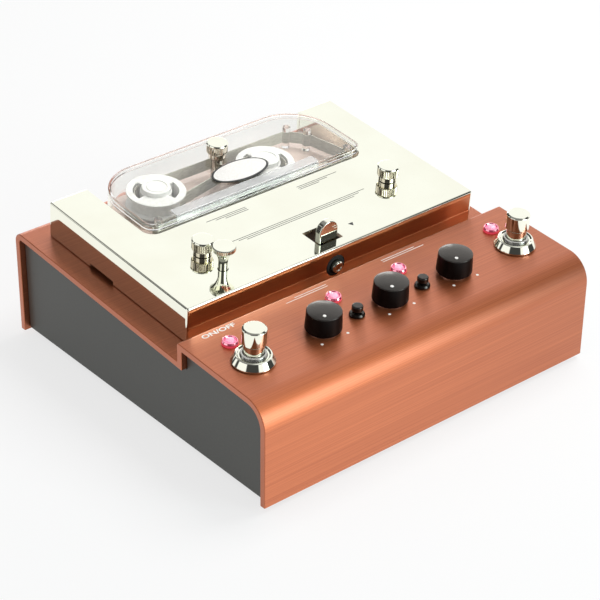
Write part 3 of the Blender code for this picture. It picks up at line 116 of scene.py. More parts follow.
# Tape deck, with depths and heights from the front edge of the ledge
COVER_HALF = 88.4
COVER_FRONT = 8.4
COVER_REAR = 117.5
COVER_TOP = 18.8
COVER_SHEET = 1.5
NOTCH_HALF = 67.1
NOTCH_FRONT = 65.4
NOTCH_CORNER = 6.6
FRONT_HOLE_LEVEL = 8.7
FRONT_HOLE = 5.6
VENT_FRONT = 65.0
VENT_REAR = 83.5
VENT_HEIGHT = 2.2
COVER_SCREWS = {"left": -55.15, "right": 60.35}
SCREW_ROW = 40.4
SCREW_HOLE = 2.3
RELEASE = (COVER_SCREWS["left"], 25.0)
RELEASE_HOLE = 2.6
LEVER_FRONT = 14.6
LEVER_SLOT = (-6.0, 8.6, LEVER_FRONT - 0.8, LEVER_FRONT + 12.4)
HEAD_GAP = 0.3
PILLAR = (-1.0, 99.2)
CARTRIDGE_HALF = 66.5
CARTRIDGE_FRONT = 66.0
CARTRIDGE_REAR = 116.5
CARTRIDGE_TOP = 23.6
CARTRIDGE_SEAM = 20.5
CARTRIDGE_FLOOR = 9.3
CARTRIDGE_WALL = 1.2
TUB_SHEET = 1.0
TUB_WINDOW = (-52, 55.5, 65, 72)
TUB_WINDOW_TOP = 17.9
SEAM_GAP = 0.15
BADGE_ROW = 82
REELS = {"left": (-41.0, 95.6), "right": (20.0, 86.7)}
POSTS = ((-58.0, 71.0), (60.0, 71.0), (54.0, 95.0), (47.0, 103.0))

# Print: its thickness, and its rules, each with its left end, right end and place across
INK = 0.03
PANEL_RULES = [(-40.5, -15.5, 57.6), (-34.5, -15.5, 58.95), (19, 45, 57.6), (19, 40, 58.95)]
COVER_RULES = [
    (-27.5, -13.5, 58.1), (-32.5, -13.5, 59.35), (-37.2, -13.5, 60.55),
    (18.5, 31.0, 57.9), (18.5, 37.0, 59.1), (18.5, 44.0, 60.3),
    (-30.5, 36.5, 37.95), (-34.5, 40.5, 39.2), (-38.5, 45.0, 40.45),
]
PANEL_RULE_WIDTH = 0.34
COVER_RULE_WIDTH = 0.32
END_DOT_ACROSS = 7.6
END_DOT_BELOW = 8.3
SWITCH_WORDS = "ON/OFF"
WORDS_AT = (-88.6, 57.4)
WORDS_SIZE = 3.75
WORDS_WIDTH = 18.6
WORDS_THICKENED = 0.11

# Places that the pieces are laid out in: the whole unit, the casing's section, which is drawn as depth and
# height and carried along the width, the sloping panel and the deck's ledge
UPRIGHT = Matrix.Translation((0, FRONT_Y, BOTTOM))
SIDEWAYS = UPRIGHT @ Matrix(((0, 0, 1, 0), (1, 0, 0, 0), (0, 1, 0, 0), (0, 0, 0, 1)))
PANEL = UPRIGHT @ Matrix.Translation((0, 0, FRONT_HEIGHT)) @ Matrix.Rotation(PANEL_SLOPE, 4, "X")
DECK = UPRIGHT @ Matrix.Translation((0, STEP_DEPTH, LEDGE_FRONT)) @ Matrix.Rotation(LEDGE_SLOPE, 4, "X")

# Turns that make a piece drawn on the ground face the front or the rear
TO_FRONT = Matrix(((1, 0, 0, 0), (0, 0, -1, 0), (0, 1, 0, 0), (0, 0, 0, 1)))
TO_REAR = Matrix(((-1, 0, 0, 0), (0, 0, 1, 0), (0, 1, 0, 0), (0, 0, 0, 1)))

# The middle of the cover's front hole, its z axis pointing forwards
FRONT_HOLE_PLACE = DECK @ Matrix.Translation((0, COVER_FRONT, FRONT_HOLE_LEVEL)) @ TO_FRONT


# Shapes


def unit(vectors):
    """Each vector divided by its own length."""
    return vectors / np.maximum(np.linalg.norm(vectors, axis=-1, keepdims=True), 1e-12)


def eased(corners, steps=5, ring=True):
    """The outline through (a, b, radius) corners: round each goes an arc of its radius that touches both
    sides, with a short straight run before and after it."""
    corners = np.array(corners, float)
    here, radius = corners[:, :2], corners[:, 2:]
    back = unit(np.roll(here, 1, 0) - here)
    ahead = unit(np.roll(here, -1, 0) - here)
    half = np.arccos(np.clip((back * ahead).sum(1, keepdims=True), -0.999999, 0.999999)) / 2
    centre = here + unit(back + ahead + 1e-12) * radius / np.sin(half)
    start = here + back * radius / np.tan(half) - centre
    turn = -np.sign(back[:, :1] * ahead[:, 1:] - back[:, 1:] * ahead[:, :1])
    angle = turn * (math.pi - 2 * half) * np.linspace(0, 1, steps + 1)
    cosine, sine = np.cos(angle), np.sin(angle)
    arcs = np.stack(
        [start[:, :1] * cosine - start[:, 1:] * sine, start[:, :1] * sine + start[:, 1:] * cosine], -1
    )
    reach = radius / np.tan(half) + RUN
    arcs = arcs + centre[:, None]
    points = np.concatenate([(here + back * reach)[:, None], arcs, (here + ahead * reach)[:, None]], 1)
    if ring:
        return points.reshape(-1, 2)
    return np.concatenate([here[:1], points[1:-1].reshape(-1, 2), here[-1:]])


def outward(outline):
    """At each point of a closed outline, the step that moves both sides that meet there outwards by one."""
    along = unit(np.roll(outline, -1, 0) - outline)
    side = np.stack([along[:, 1], -along[:, 0]], -1)
    before = np.roll(side, 1, 0)
    x, y = outline.T
    area = (x * np.roll(y, -1) - y * np.roll(x, -1)).sum()
    return np.sign(area) * (side + before) / (1 + (side * before).sum(1, keepdims=True))


def grid_faces(rows, columns):
    """The corners of each face of a grid whose last column meets its first."""
    row, column = np.meshgrid(np.arange(rows - 1), np.arange(columns), indexing="ij")
    following = (column + 1) % columns
    low, high = row * columns, (row + 1) * columns
    corners = np.stack([low + column, low + following, high + following, high + column], -1)
    return corners.reshape(-1, 4).tolist()


def turned(profile, steps=96, ridges=0, depth=0.0):
    """A profile of (radius, height) points spun once round: x = r cos t, y = r sin t, z = height. A depth for
    each point makes ridges: r grows and shrinks there by depth times cos(ridges t)."""
    profile = np.array(profile, float)
    angle = np.linspace(0, math.tau, steps, endpoint=False)
    radius = profile[:, :1] + np.reshape(depth, (-1, 1)) * np.cos(ridges * angle)
    height = np.broadcast_to(profile[:, 1:2], radius.shape)
    points = np.stack([radius * np.cos(angle), radius * np.sin(angle), height], -1)
    return points.reshape(-1, 3), grid_faces(len(profile), steps)


def knurled(profile, low, high, radius, ridges, depth):
    """A turned profile that carries straight ridges between two heights, where it is no more than 0.3 inside
    the given radius. Eight points round make one ridge."""
    profile = np.array(profile, float)
    inside = (profile[:, 1] > low) & (profile[:, 1] < high) & (profile[:, 0] > radius - 0.3)
    return turned(profile, ridges * 8, ridges, np.where(inside, depth, 0.0))


def layered(outline, levels):
    """An outline stacked at (inset, height) levels, each moved inwards by its inset, with a flat face at each
    end."""
    levels = np.array(levels, float)
    count = len(outline)
    flat = outline[None] - outward(outline)[None] * levels[:, :1, None]
    heights = np.broadcast_to(levels[:, 1:, None], (len(levels), count, 1))
    first = np.arange(count)
    ends = [first.tolist(), (first + count * (len(levels) - 1)).tolist()]
    return np.concatenate([flat, heights], -1).reshape(-1, 3), grid_faces(len(levels), count) + ends


def rim(edge, level, steps=4):
    """The (inset, height) levels of a rounded rim below a flat face: a quarter circle of the edge's size."""
    turn = np.linspace(0, math.pi / 2, steps + 1)
    arc = np.stack([edge * (1 - np.cos(turn)), level - edge * (1 - np.sin(turn))], -1)
    return np.concatenate([[[0, level - edge - RUN]], arc, [[edge + RUN, level]]])


def plate(outline, low, high, edge=0.3):
    """A flat plate between two levels, with both rims rounded."""
    upper = rim(edge, high)
    lower = rim(edge, -low)[::-1] * (1, -1)
    return layered(outline, np.concatenate([lower, upper]))


def tray(outline, floor, lip, wall, sheet, edge):
    """A tray with its outer floor rim rounded: the levels go up the inside, over the lip and down the
    outside. A lip below the floor turns it over. Inside, a slope takes up the corner at the floor."""
    way = 1 if lip > floor else -1
    slope = 0.4
    outside = rim(edge, -floor * way) * (1, -way)
    inside = [(wall + slope, floor + sheet * way), (wall, floor + (sheet + slope) * way), (wall, lip)]
    return layered(outline, np.concatenate([inside, [(0.0, lip)], outside]))


def joined(*shapes):
    """Several shapes as one."""
    points, faces, count = [], [], 0
    for some, corners in shapes:
        points.append(some)
        faces += [[corner + count for corner in face] for face in corners]
        count += len(some)
    return np.concatenate(points), faces


def moved(shape, x=0.0, y=0.0, z=0.0):
    """A shape shifted as it is."""
    return shape[0] + (x, y, z), shape[1]


def rectangle(left, right, front, rear, radius=0.1, steps=3):
    """A rectangle whose corners are arcs of one radius."""
    corners = [(left, front), (right, front), (right, rear), (left, rear)]
    return eased([(x, y, radius) for x, y in corners], steps)


def hexagon(flats, radius=0.25):
    """A hexagon of the given width across its flats: its corners lie at flats / sqrt 3 from the middle."""
    turn = np.radians(np.arange(6) * 60 + 30)
    reach = flats / math.sqrt(3)
    return eased(np.stack([reach * np.cos(turn), reach * np.sin(turn), np.full(6, radius)], -1), 3)


def rings(spans):
    """A profile of sharp and rounded corners, as (radius, height, rounding)."""
    return eased(spans, 4, ring=False)


def solid(name, shape, place):
    """A shape's mesh at its place, in millimetres, with its doubles merged and its faces turned outwards."""
    points, faces = shape
    matrix = np.array(place)
    mesh = bpy.data.meshes.new(name)
    mesh.from_pydata(points @ matrix[:3, :3].T + matrix[:3, 3], [], faces)
    settle(mesh)
    return mesh


def settle(mesh, shade=False):
    """Merges a mesh's doubles and turns its faces outwards. Shading makes it smooth, but for its flat faces
    with many corners, which it cuts into triangles."""
    tidy = bmesh.new()
    tidy.from_mesh(mesh)
    bmesh.ops.remove_doubles(tidy, verts=tidy.verts, dist=1e-4)
    bmesh.ops.recalc_face_normals(tidy, faces=tidy.faces)
    if shade:
        for face in tidy.faces:
            face.smooth = len(face.verts) < 5
        bmesh.ops.triangulate(tidy, faces=[face for face in tidy.faces if not face.smooth])
    tidy.to_mesh(mesh)
    tidy.free()


def carved(mesh, shape, place):
    """The mesh, still in millimetres, without what a shape takes out of it."""
    holders = []
    for part in (mesh, solid("cutter", shape, place)):
        holders.append(bpy.data.objects.new(part.name, part))
        bpy.context.scene.collection.objects.link(holders[-1])
    cut = holders[0].modifiers.new("cut", "BOOLEAN")
    cut.object = holders[1]
    cut.solver = "MANIFOLD"
    bpy.context.view_layer.update()
    result = holders[0].evaluated_get(bpy.context.evaluated_depsgraph_get())
    finished = bpy.data.meshes.new_from_object(result)
    for holder in holders:
        bpy.data.objects.remove(holder)
    settle(finished)
    return finished


def make_piece(name, body, shape, place, finish, stands_for=(), cuts=()):
    """Links a shape as an object at its place, riding on a body, with its finish. Each cut is a shape and a
    place."""
    mesh = solid(name, shape, place)
    for cut in cuts:
        mesh = carved(mesh, *cut)
    settle(mesh, shade=True)
    mesh.transform(Matrix.Scale(MM, 4))
    mesh.set_sharp_from_angle(angle=SMOOTH_ANGLE)
    mesh.materials.clear()
    mesh.materials.append(FINISHES[finish])
    piece = bpy.data.objects.new(name, mesh)
    bpy.context.scene.collection.objects.link(piece)
    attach(piece, body)
    if stands_for:
        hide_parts(*stands_for)
    return piece


def hide_from_mirrors(piece):
    """Keeps a piece out of what shiny surfaces show, where it would leave a long dark smear."""
    piece.visible_glossy = False


# Finishes


def linear(hex_colour):
    """An sRGB hex colour as linear red, green, blue and alpha."""
    shares = [int(hex_colour[i : i + 2], 16) / 255 for i in (0, 2, 4)]
    return [s / 12.92 if s <= 0.04045 else ((s + 0.055) / 1.055) ** 2.4 for s in shares] + [1.0]


def add(tree, kind, inputs=(), **settings):
    """Adds a node with its settings, and sets each input or links an output to it."""
    made = tree.nodes.new(kind)
    for key, value in settings.items():
        setattr(made, key, value)
    for key, value in dict(inputs).items():
        if isinstance(value, bpy.types.NodeSocket):
            tree.links.new(value, made.inputs[key])
        else:
            made.inputs[key].default_value = value
    return made


def new_finish(name, inputs):
    """A material with one Principled shader, its inputs set, and the piece's own coordinates to draw patterns
    on."""
    material = bpy.data.materials.new(name)
    material.use_nodes = True
    tree = material.node_tree
    shader = tree.nodes["Principled BSDF"]
    for key, value in inputs.items():
        shader.inputs[key].default_value = value
    return material, tree, shader, add(tree, "ShaderNodeTexCoord").outputs["Object"]


def grained(name, colours, inputs, grain, rough, bump, detail=3.0, low=0.35, high=0.65):
    """A finish with grains of the given width in millimetres, one for all directions or one each for x, y
    and z. They run between two colours and two roughnesses, and raise the surface by bump millimetres."""
    material, tree, shader, place = new_finish(name, inputs)
    grains_per_metre = 1 / (np.broadcast_to(grain, 3) * MM)
    spread = add(tree, "ShaderNodeMapping", {"Vector": place, "Scale": grains_per_metre})
    noise = add(
        tree, "ShaderNodeTexNoise", {"Vector": spread.outputs["Vector"], "Scale": 1.0, "Detail": detail}
    ).outputs["Fac"]
    colour = add(tree, "ShaderNodeValToRGB", {"Fac": noise})
    for stop, position, hex_colour in zip(colour.color_ramp.elements, (low, high), colours):
        stop.position = position
        stop.color = linear(hex_colour)
    tree.links.new(colour.outputs["Color"], shader.inputs["Base Color"])
    sheen = add(
        tree, "ShaderNodeMapRange",
        {"Value": noise, "From Min": low, "From Max": high, "To Min": rough[0], "To Max": rough[1]},
    )
    tree.links.new(sheen.outputs["Result"], shader.inputs["Roughness"])
    raised = add(tree, "ShaderNodeBump", {"Height": noise, "Strength": 1.0, "Distance": bump * MM})
    tree.links.new(raised.outputs["Normal"], shader.inputs["Normal"])
    return material


def brushed_along_x(material):
    """Turns a finish's uneven gloss so that it spreads light across lines that run along X."""
    tree = material.node_tree
    across = add(tree, "ShaderNodeTangent", direction_type="RADIAL", axis="X")
    tree.links.new(across.outputs["Tangent"], tree.nodes["Principled BSDF"].inputs["Tangent"])
    return material


def make_finishes():
    """Each finish by its name: its two colours, the shader's own settings, the width of its grain, its two
    roughnesses and the height of its grain."""
    return {
        # Anodised aluminium sheet, brushed along its width under a satin lacquer: long fine lines, and
        # light that spreads into a band across them. The real lines are about 0.1 mm apart, and are drawn
        # nearly 0.4 mm apart so that they show.
        "copper_sheet": brushed_along_x(grained(
            "anodised_aluminium_brushed_copper", ("B65F37", "CC7347"),
            {"Metallic": 0.85, "Anisotropic": 0.85, "Coat Weight": 0.8, "Coat Roughness": 0.35},
            (100, 0.385, 0.385), (0.37, 0.42), 0.003, 5.0, 0.3, 0.7,
        )),
        # Powder paint on steel sheet, satin: a fine orange peel that greys the highlight.
        "dark_paint": grained(
            "steel_sheet_dark_satin_paint", ("444541", "4C4D48"), {"Metallic": 0.0, "IOR": 1.5}, 1.1,
            (0.36, 0.44), 0.006,
        ),
        # Steel sheet, polished and nickel plated: a warm mirror with a faint unevenness from the wheel.
        "polished_nickel": grained(
            "nickel_plate_polished", ("FAFAEA", "FEFFF0"), {"Metallic": 1.0}, 33.0, (0.02, 0.05), 0.002,
        ),
        # The same plate over fine knurling, where the light breaks up: its greyer, darker colour is painted
        # shade.
        "knurled_nickel": grained(
            "nickel_plate_knurled", ("D6CDBE", "ECE5D6"), {"Metallic": 1.0}, 1.1, (0.06, 0.12), 0.002,
        ),
        # Steel, turned and left bright: a grey shine that the tool's marks blur.
        "bright_steel": grained(
            "steel_turned_bright", ("B9B8B2", "D0CFC8"), {"Metallic": 1.0}, 1.4, (0.16, 0.26), 0.003,
        ),
        # Aluminium sheet, rolled to a satin: a soft pale plate with faint lines along its width. Its pink
        # tint is a painted reflection of the copper round it.
        "plain_aluminium": grained(
            "aluminium_sheet_satin_copper_tone", ("D9C0B5", "E5D0C6"), {"Metallic": 0.3}, (33, 0.77, 0.77),
            (0.40, 0.50), 0.004,
        ),
        # Brass, turned: a yellow shine with fine marks round the piece.
        "turned_brass": grained(
            "brass_turned", ("BE9850", "D2AE68"), {"Metallic": 1.0}, (1.7, 1.7, 0.4), (0.24, 0.34), 0.004,
        ),
        # ABS, moulded and glossy: deep black with a clean, slightly warm highlight.
        "black_plastic": grained(
            "abs_moulded_gloss_black", ("0A0706", "120D0B"),
            {
                "Metallic": 0.0,
                "IOR": 1.5,
                "Coat Weight": 0.5,
                "Coat Roughness": 0.12,
                "Coat Tint": linear("FFF0DC"),
            },
            1.7, (0.2, 0.27), 0.002,
        ),
        # The same ABS on the knobs' sides and skirts, moulded in an etched mould, which gives a wide dull
        # highlight; its darker, slightly red colour is painted shade and a painted reflection of the copper.
        "shaded_black": grained(
            "abs_moulded_satin_black", ("070303", "0C0605"),
            {"Metallic": 0.0, "IOR": 1.5, "Specular IOR Level": 0.15}, 1.7, (0.32, 0.42), 0.003,
        ),
        # Polystyrene, moulded and clear: bright edges with a faint cold tint.
        "clear_plastic": grained(
            "polystyrene_moulded_clear", ("F8F8F6", "FEFEFC"),
            {"Metallic": 0.0, "IOR": 1.49, "Transmission Weight": 1.0}, 40.0, (0.01, 0.03), 0.001,
        ),
        # The same moulding where its mould was left matt: half clear, half white.
        "misted_plastic": grained(
            "polystyrene_moulded_matt", ("F0F0EE", "FFFFFF"),
            {"Metallic": 0.0, "IOR": 1.49, "Transmission Weight": 0.7}, 17.0, (0.14, 0.2), 0.001,
        ),
        # Acetal, moulded white: soft and a little waxy, as light goes about 1 mm into it.
        "white_plastic": grained(
            "acetal_moulded_white", ("D2D1CD", "DEDDDA"),
            {"Metallic": 0.0, "IOR": 1.48, "Subsurface Weight": 0.1, "Subsurface Radius": (MM, MM, MM)},
            2.0, (0.30, 0.38), 0.004,
        ),
        # Magnetic tape, coated film: a thin pale edge with a dull shine that runs along it.
        "tape": grained(
            "magnetic_tape_oxide", ("B0AC9E", "C4C0B3"), {"Metallic": 0.0, "IOR": 1.55}, (3.3, 3.3, 0.33),
            (0.22, 0.34), 0.003,
        ),
        # Rubber, moulded: matt black with a fine bloom.
        "rubber": grained(
            "rubber_moulded_black", ("161616", "242424"), {"Metallic": 0.0, "IOR": 1.52}, 0.83, (0.72, 0.86),
            0.02,
        ),
        # Acrylic, moulded clear over a pink lamp: a pale glow with a clean highlight.
        "pink_lens": grained(
            "acrylic_lens_pink", ("E9BBCB", "FFE6EE"),
            {
                "Metallic": 0.0,
                "IOR": 1.49,
                "Transmission Weight": 0.4,
                "Emission Color": linear("F08CB4"),
                "Emission Strength": 0.3,
            },
            2.0, (0.06, 0.12), 0.004,
        ),
        # Chrome plate round the lamp: its pink colour is a painted reflection of the lamp's light, and its
        # faint glow is painted light.
        "pink_rim": grained(
            "chrome_plate_lit_pink", ("F0A4BA", "FFC8D6"),
            {"Metallic": 1.0, "Emission Color": linear("FF4A78"), "Emission Strength": 0.22},
            1.4, (0.05, 0.1), 0.004,
        ),
        # Silicone, moulded, under the ring: its red colour and glow are painted light, the lamp's light
        # leaking out onto the panel.
        "lamp_red_glow": grained(
            "silicone_seal_lit_red", ("D0586A", "E0707E"),
            {"Metallic": 0.0, "IOR": 1.41, "Emission Color": linear("FF3858"), "Emission Strength": 0.4},
            1.4, (0.3, 0.4), 0.004,
        ),
        # Glass-fibre board under green lacquer: a flat green with the weave just felt in its shine.
        "green_board": grained(
            "glass_board_green_lacquer", ("25503A", "2F6046"), {"Metallic": 0.0, "IOR": 1.52}, 2.5,
            (0.3, 0.5), 0.006,
        ),
        # Screen-printed ink, one coat: a flat white that is duller than the metal under it.
        "white_print": grained(
            "screen_ink_white", ("F0ECE6", "FCFAF6"), {"Metallic": 0.0, "IOR": 1.5}, 0.67, (0.4, 0.55), 0.004,
        ),
        # The same ink, dark: a flat grey-black on the polished cover.
        "dark_print": grained(
            "screen_ink_dark", ("262626", "343434"), {"Metallic": 0.0, "IOR": 1.5}, 0.67, (0.35, 0.5), 0.004,
        ),
    }


# Casing


def on_panel(column, row):
    """A place on the sloping panel, its z axis square to the sheet."""
    return PANEL @ Matrix.Translation((column, row, 0))


def on_rear(column):
    """A place on the rear face, its z axis pointing backwards."""
    return Matrix.Translation((column, REAR_FACE, JACK_LEVEL)) @ TO_REAR


def drill(radius, low, high):
    """A plain cylinder between two levels."""
    return turned([(0, low), (radius, low), (radius, high), (0, high)], 64)


def casing_section(inset, edge):
    """The casing's section as (depth, height, rounding) corners, its sheet's outer face moved in by the
    inset."""
    panel = inset / math.cos(PANEL_SLOPE)
    ledge = inset / math.cos(LEDGE_SLOPE)
    front, step, rear = inset, STEP_DEPTH - inset, SHELL_DEPTH - inset
    return [
        (front, 0, edge),
        (front, FRONT_HEIGHT + front * PANEL_RISE - panel, FRONT_RADIUS - inset),
        (step, STEP_HEIGHT - inset * PANEL_RISE - panel, max(STEP_RADIUS - inset, edge)),
        (step, LEDGE_FRONT - inset * LEDGE_RISE - ledge, edge),
        (rear, LEDGE_REAR - inset * LEDGE_RISE - ledge, max(REAR_RADIUS - inset, edge)),
        (rear, 0, edge),
    ]


def make_casing():
    """The bent sheet: its section carried along the width, with its holes drilled square to each face."""
    sheet = eased(casing_section(0, 0.5) + casing_section(SHELL_SHEET, 0.5)[::-1], 12)
    rows = [
        (KNOBS, CONTROL_ROW, KNOB_HOLE),
        (BUTTONS, CONTROL_ROW, BUTTON_HOLE),
        (FOOTSWITCHES, CONTROL_ROW, SWITCH_HOLE),
        (LAMPS, LED_ROW, LAMP_HOLE),
    ]
    cuts = []
    for columns, row, radius in rows:
        cuts += [(drill(radius, *THROUGH), on_panel(x, row)) for x in columns.values()]
    cuts += [(drill(SOCKET_HOLE, *THROUGH), on_rear(x)) for x in SOCKETS.values()]
    cuts.append((drill(INLET_HOLE, *THROUGH), on_rear(INLET)))
    cuts.append((layered(rectangle(*DECK_OPENING, 0.5), [(0, level) for level in THROUGH]), DECK))
    make_piece(
        "brushed_shell", "chassis", plate(sheet, -SHELL_HALF, SHELL_HALF, 0.35), SIDEWAYS, "copper_sheet",
        ["chassis_shell"], cuts,
    )


def make_side_panels():
    """Flat sheets along the inner line of the casing's section, a little clear of it."""
    section = casing_section(SHELL_SHEET + FIT, 0.4)
    section[0] = (section[0][0], BASE_LEVEL, 0.4)
    section[-1] = (section[-1][0], BASE_LEVEL, 0.4)
    cheek = eased(section, 8)
    for name, low in (("left", -CHEEK_FACE), ("right", CHEEK_FACE - CHEEK_SHEET)):
        make_piece(
            f"{name}_cheek", "chassis", plate(cheek, low, low + CHEEK_SHEET, 0.25), SIDEWAYS, "dark_paint",
            [f"side_panel_{name}"],
        )


def make_underside():
    """A flat bottom sheet on four turned feet."""
    half = CHEEK_FACE - CHEEK_SHEET - FIT
    margin = SHELL_SHEET + FIT
    outline = rectangle(-half, half, margin, SHELL_DEPTH - margin, 1.0)
    floor = plate(outline, BASE_LEVEL, BASE_LEVEL + BASE_SHEET, 0.25)
    make_piece("bottom_sheet", "chassis", floor, UPRIGHT, "dark_paint", ["base_plate"])
    foot = rings(
        [(0, 1.4, 0), (2.4, 1.4, 0.2), (2.4, 0, 0.3), (6.6, 0, 0.6), (7.0, 3.4, 0.3), (0, 3.4, 0)]
    )
    for side, x in FOOT_COLUMNS.items():
        for end, y in FOOT_ROWS.items():
            place = Matrix.Translation((x, FRONT_Y + y, 0))
            make_piece(
                f"{end}_{side}_rubber_foot", "chassis", turned(foot, 64), place, "rubber",
                [f"foot_{end}_{side}"],
            )


# Controls


def make_knobs():
    """Each knob is turned as a flared skirt, a tapered side and a low dome, with a dot for its pointer."""
    skirt = rings(
        [
            (6.6, 0.6, 0), (7.7, 0.6, 0.3), (8.7, 1.7, 0.8), (8.62, 3.1, 0), (6.6, 3.1, 0), (6.6, 0.6, 0),
        ]
    )
    body = rings(
        [
            (0, 5.2, 0), (6.6, 5.2, 0), (6.6, 3.12, 0), (8.62, 3.12, 0), (8.25, 10.45, 0), (0, 10.45, 0),
        ]
    )
    top = rings(
        [
            (0, 10.47, 0), (8.25, 10.47, 0), (8.2, 10.75, 0.2), (7.9, 10.87, 0.1), (6.6, 11.16, 0.1),
            (5.0, 11.41, 0.1), (3.4, 11.58, 0.1), (1.7, 11.67, 0.1), (0, 11.7, 0),
        ]
    )
    dot = rings([(0, 11.2, 0), (0.85, 11.2, 0.02), (0.8, 11.5, 0.05), (0, 11.5, 0)])
    pointer = moved(turned(dot, 24), *POINTER)
    for name, column in KNOBS.items():
        place = on_panel(column, CONTROL_ROW)
        # The sides and skirts take the darker black: painted shade and a painted reflection of the copper.
        side = make_piece(
            f"{name}_control", f"{name}_knob", turned(body, 128), place, "shaded_black", [f"{name}_knob"]
        )
        hide_from_mirrors(side)
        make_piece(f"{name}_control_top", f"{name}_knob", turned(top, 128), place, "black_plastic")
        make_piece(f"{name}_control_skirt", f"{name}_knob", turned(skirt, 128), place, "shaded_black")
        make_piece(f"{name}_pointer", f"{name}_knob", pointer, place, "white_print")


def make_buttons():
    """A turned collar, and a turned cap whose stem runs down inside it."""
    housing = rings(
        [
            (0, -3, 0), (2.8, -3, 0), (2.8, 0.3, 0), (3.8, 0.3, 0.1), (3.8, 1.0, 0.25), (3.2, 1.8, 0.25),
            (1.8, 1.8, 0.1), (1.8, -2.5, 0), (0, -2.5, 0),
        ]
    )
    cap = rings([(0, -1.6, 0), (1.5, -1.6, 0), (1.5, 2.9, 0), (2.7, 2.9, 0.15), (2.7, 5.6, 0.7), (0, 5.6, 0)])
    for name, column in BUTTONS.items():
        place = on_panel(column, CONTROL_ROW)
        make_piece(
            f"{name}_button_collar", "chassis", turned(housing, 64), place, "black_plastic",
            [f"{name}_button_housing"],
        )
        make_piece(
            f"{name}_button_cap", f"{name}_button", turned(cap, 64), place, "black_plastic",
            [f"{name}_button"],
        )


def make_lamps():
    """A turned ring on a thin seal, and a lens with eight sides: r = 2.3 cos a, z = 1.5 + 1.5 sin a.
    The ring's pink is a painted reflection of the lamp, and the seal's red glow is painted light.
    """
    bezel = rings(
        [
            (0, 0.7, 0), (3.9, 0.7, 0.1), (3.9, 1.3, 0.2), (3.5, 2.1, 0.25), (3.1, 2.1, 0.15), (2.5, 1.2, 0),
            (0, 1.2, 0),
        ]
    )
    glow_disc = drill(3.95, 0.02, 0.68)
    angle = np.linspace(0, math.pi / 2, 4)
    dome = np.stack([2.3 * np.cos(angle), 1.5 + 1.5 * np.sin(angle)], -1)
    lens = np.concatenate([[(0, 1.25), (2.3, 1.25)], dome])
    for name, column in LAMPS.items():
        place = on_panel(column, LED_ROW)
        make_piece(f"{name}_lamp_bezel", "chassis", turned(bezel, 64), place, "pink_rim", [f"{name}_led"])
        make_piece(f"{name}_lamp_seal", "chassis", glow_disc, place, "lamp_red_glow")
        make_piece(f"{name}_lamp_lens", "chassis", turned(lens, 8), place, "pink_lens")


def make_footswitches():
    """A turned cone nut, a plunger with a wider cap, and a body whose bush has a thread that goes to and fro
    between two radii."""
    nut = rings(
        [
            (6.3, 0.3, 0), (10.2, 0.3, 0.15), (10.2, 1.0, 0.2), (8.5, 3.95, 0.35), (7.8, 4.2, 0.15),
            (7.1, 3.6, 0.1), (6.3, 3.6, 0), (6.3, 0.3, 0),
        ]
    )
    turns, pitch = 5, 0.5
    heights = 2.4 + np.arange(turns * 2) * pitch / 2
    thread = np.stack([np.tile([6.0, 5.75], turns), heights], -1)
    mouth = rings([(6.0, 4.75, 0), (5.9, 5.0, 0.1), (5.1, 5.0, 0.1), (5.1, -3.5, 0)])
    bush = np.concatenate([[(5.1, -3.5), (6.0, -3.5)], thread, mouth])
    box = plate(rectangle(-8.5, 8.5, -8.5, 8.5, 0.8), -18.5, -3.5, 0.4)
    plunger = rings(
        [
            (0, -6, 0), (4.8, -6, 0), (4.8, 9.6, 0.2), (5.7, 10.3, 0.35), (5.7, 17.6, 0.6), (4.9, 18.2, 0.4),
            (0, 18.2, 0),
        ]
    )
    for name, column in FOOTSWITCHES.items():
        place = on_panel(column, CONTROL_ROW)
        make_piece(
            f"{name}_switch_body", "chassis", joined(turned(bush, 96), box), place, "bright_steel",
            [f"{name}_footswitch"],
        )
        make_piece(f"{name}_cone_nut", "chassis", turned(nut, 128), place, "polished_nickel", [f"{name}_nut"])
        cap = make_piece(
            f"{name}_foot_cap", f"{name}_plunger", turned(plunger, 128), place, "polished_nickel",
            [f"{name}_plunger"],
        )
        hide_from_mirrors(cap)


# Tape deck


def make_cover():
    """The cover is its outline stacked up to a rounded rim, hollowed from below, with its notch, slot,
    screw holes, front hole and side vents cut out."""
    outline = rectangle(-COVER_HALF, COVER_HALF, COVER_FRONT, COVER_REAR, 1.25, 5)
    body = layered(outline, np.concatenate([[(0.15, 0.3), (0, 0.45), (0, 0.5)], rim(1.0, COVER_TOP, 5)]))
    half, front, rear = COVER_HALF - COVER_SHEET, COVER_FRONT + COVER_SHEET, COVER_REAR - COVER_SHEET
    inside = rectangle(-half, half, front, rear, 0.3)
    notch = eased(
        [
            (-NOTCH_HALF, NOTCH_FRONT, NOTCH_CORNER), (NOTCH_HALF, NOTCH_FRONT, NOTCH_CORNER),
            (NOTCH_HALF, COVER_REAR + 1, 0.1), (-NOTCH_HALF, COVER_REAR + 1, 0.1),
        ],
        10,
    )
    slot = rectangle(*LEVER_SLOT, 0.6, 4)
    vents = rectangle(-COVER_HALF - 1, COVER_HALF + 1, VENT_FRONT, VENT_REAR, 0.3)
    cuts = [
        (layered(inside, [(0, -1.0), (0, COVER_TOP - COVER_SHEET)]), DECK),
        (layered(notch, [(0, -1.0), (0, COVER_TOP + 1)]), DECK),
        (layered(slot, [(0, COVER_TOP + level) for level in THROUGH]), DECK),
        (drill(FRONT_HOLE, *THROUGH), FRONT_HOLE_PLACE),
        (layered(vents, [(0, -1.0), (0, VENT_HEIGHT)]), DECK),
    ]
    holes = [((column, SCREW_ROW), SCREW_HOLE) for column in COVER_SCREWS.values()]
    for place, radius in [*holes, (RELEASE, RELEASE_HOLE)]:
        cuts.append((moved(drill(radius, *THROUGH), *place, COVER_TOP), DECK))
    cover = make_piece("polished_deck_cover", "chassis", body, DECK, "polished_nickel", ["deck_cover"], cuts)
    soften(cover, 0.18)


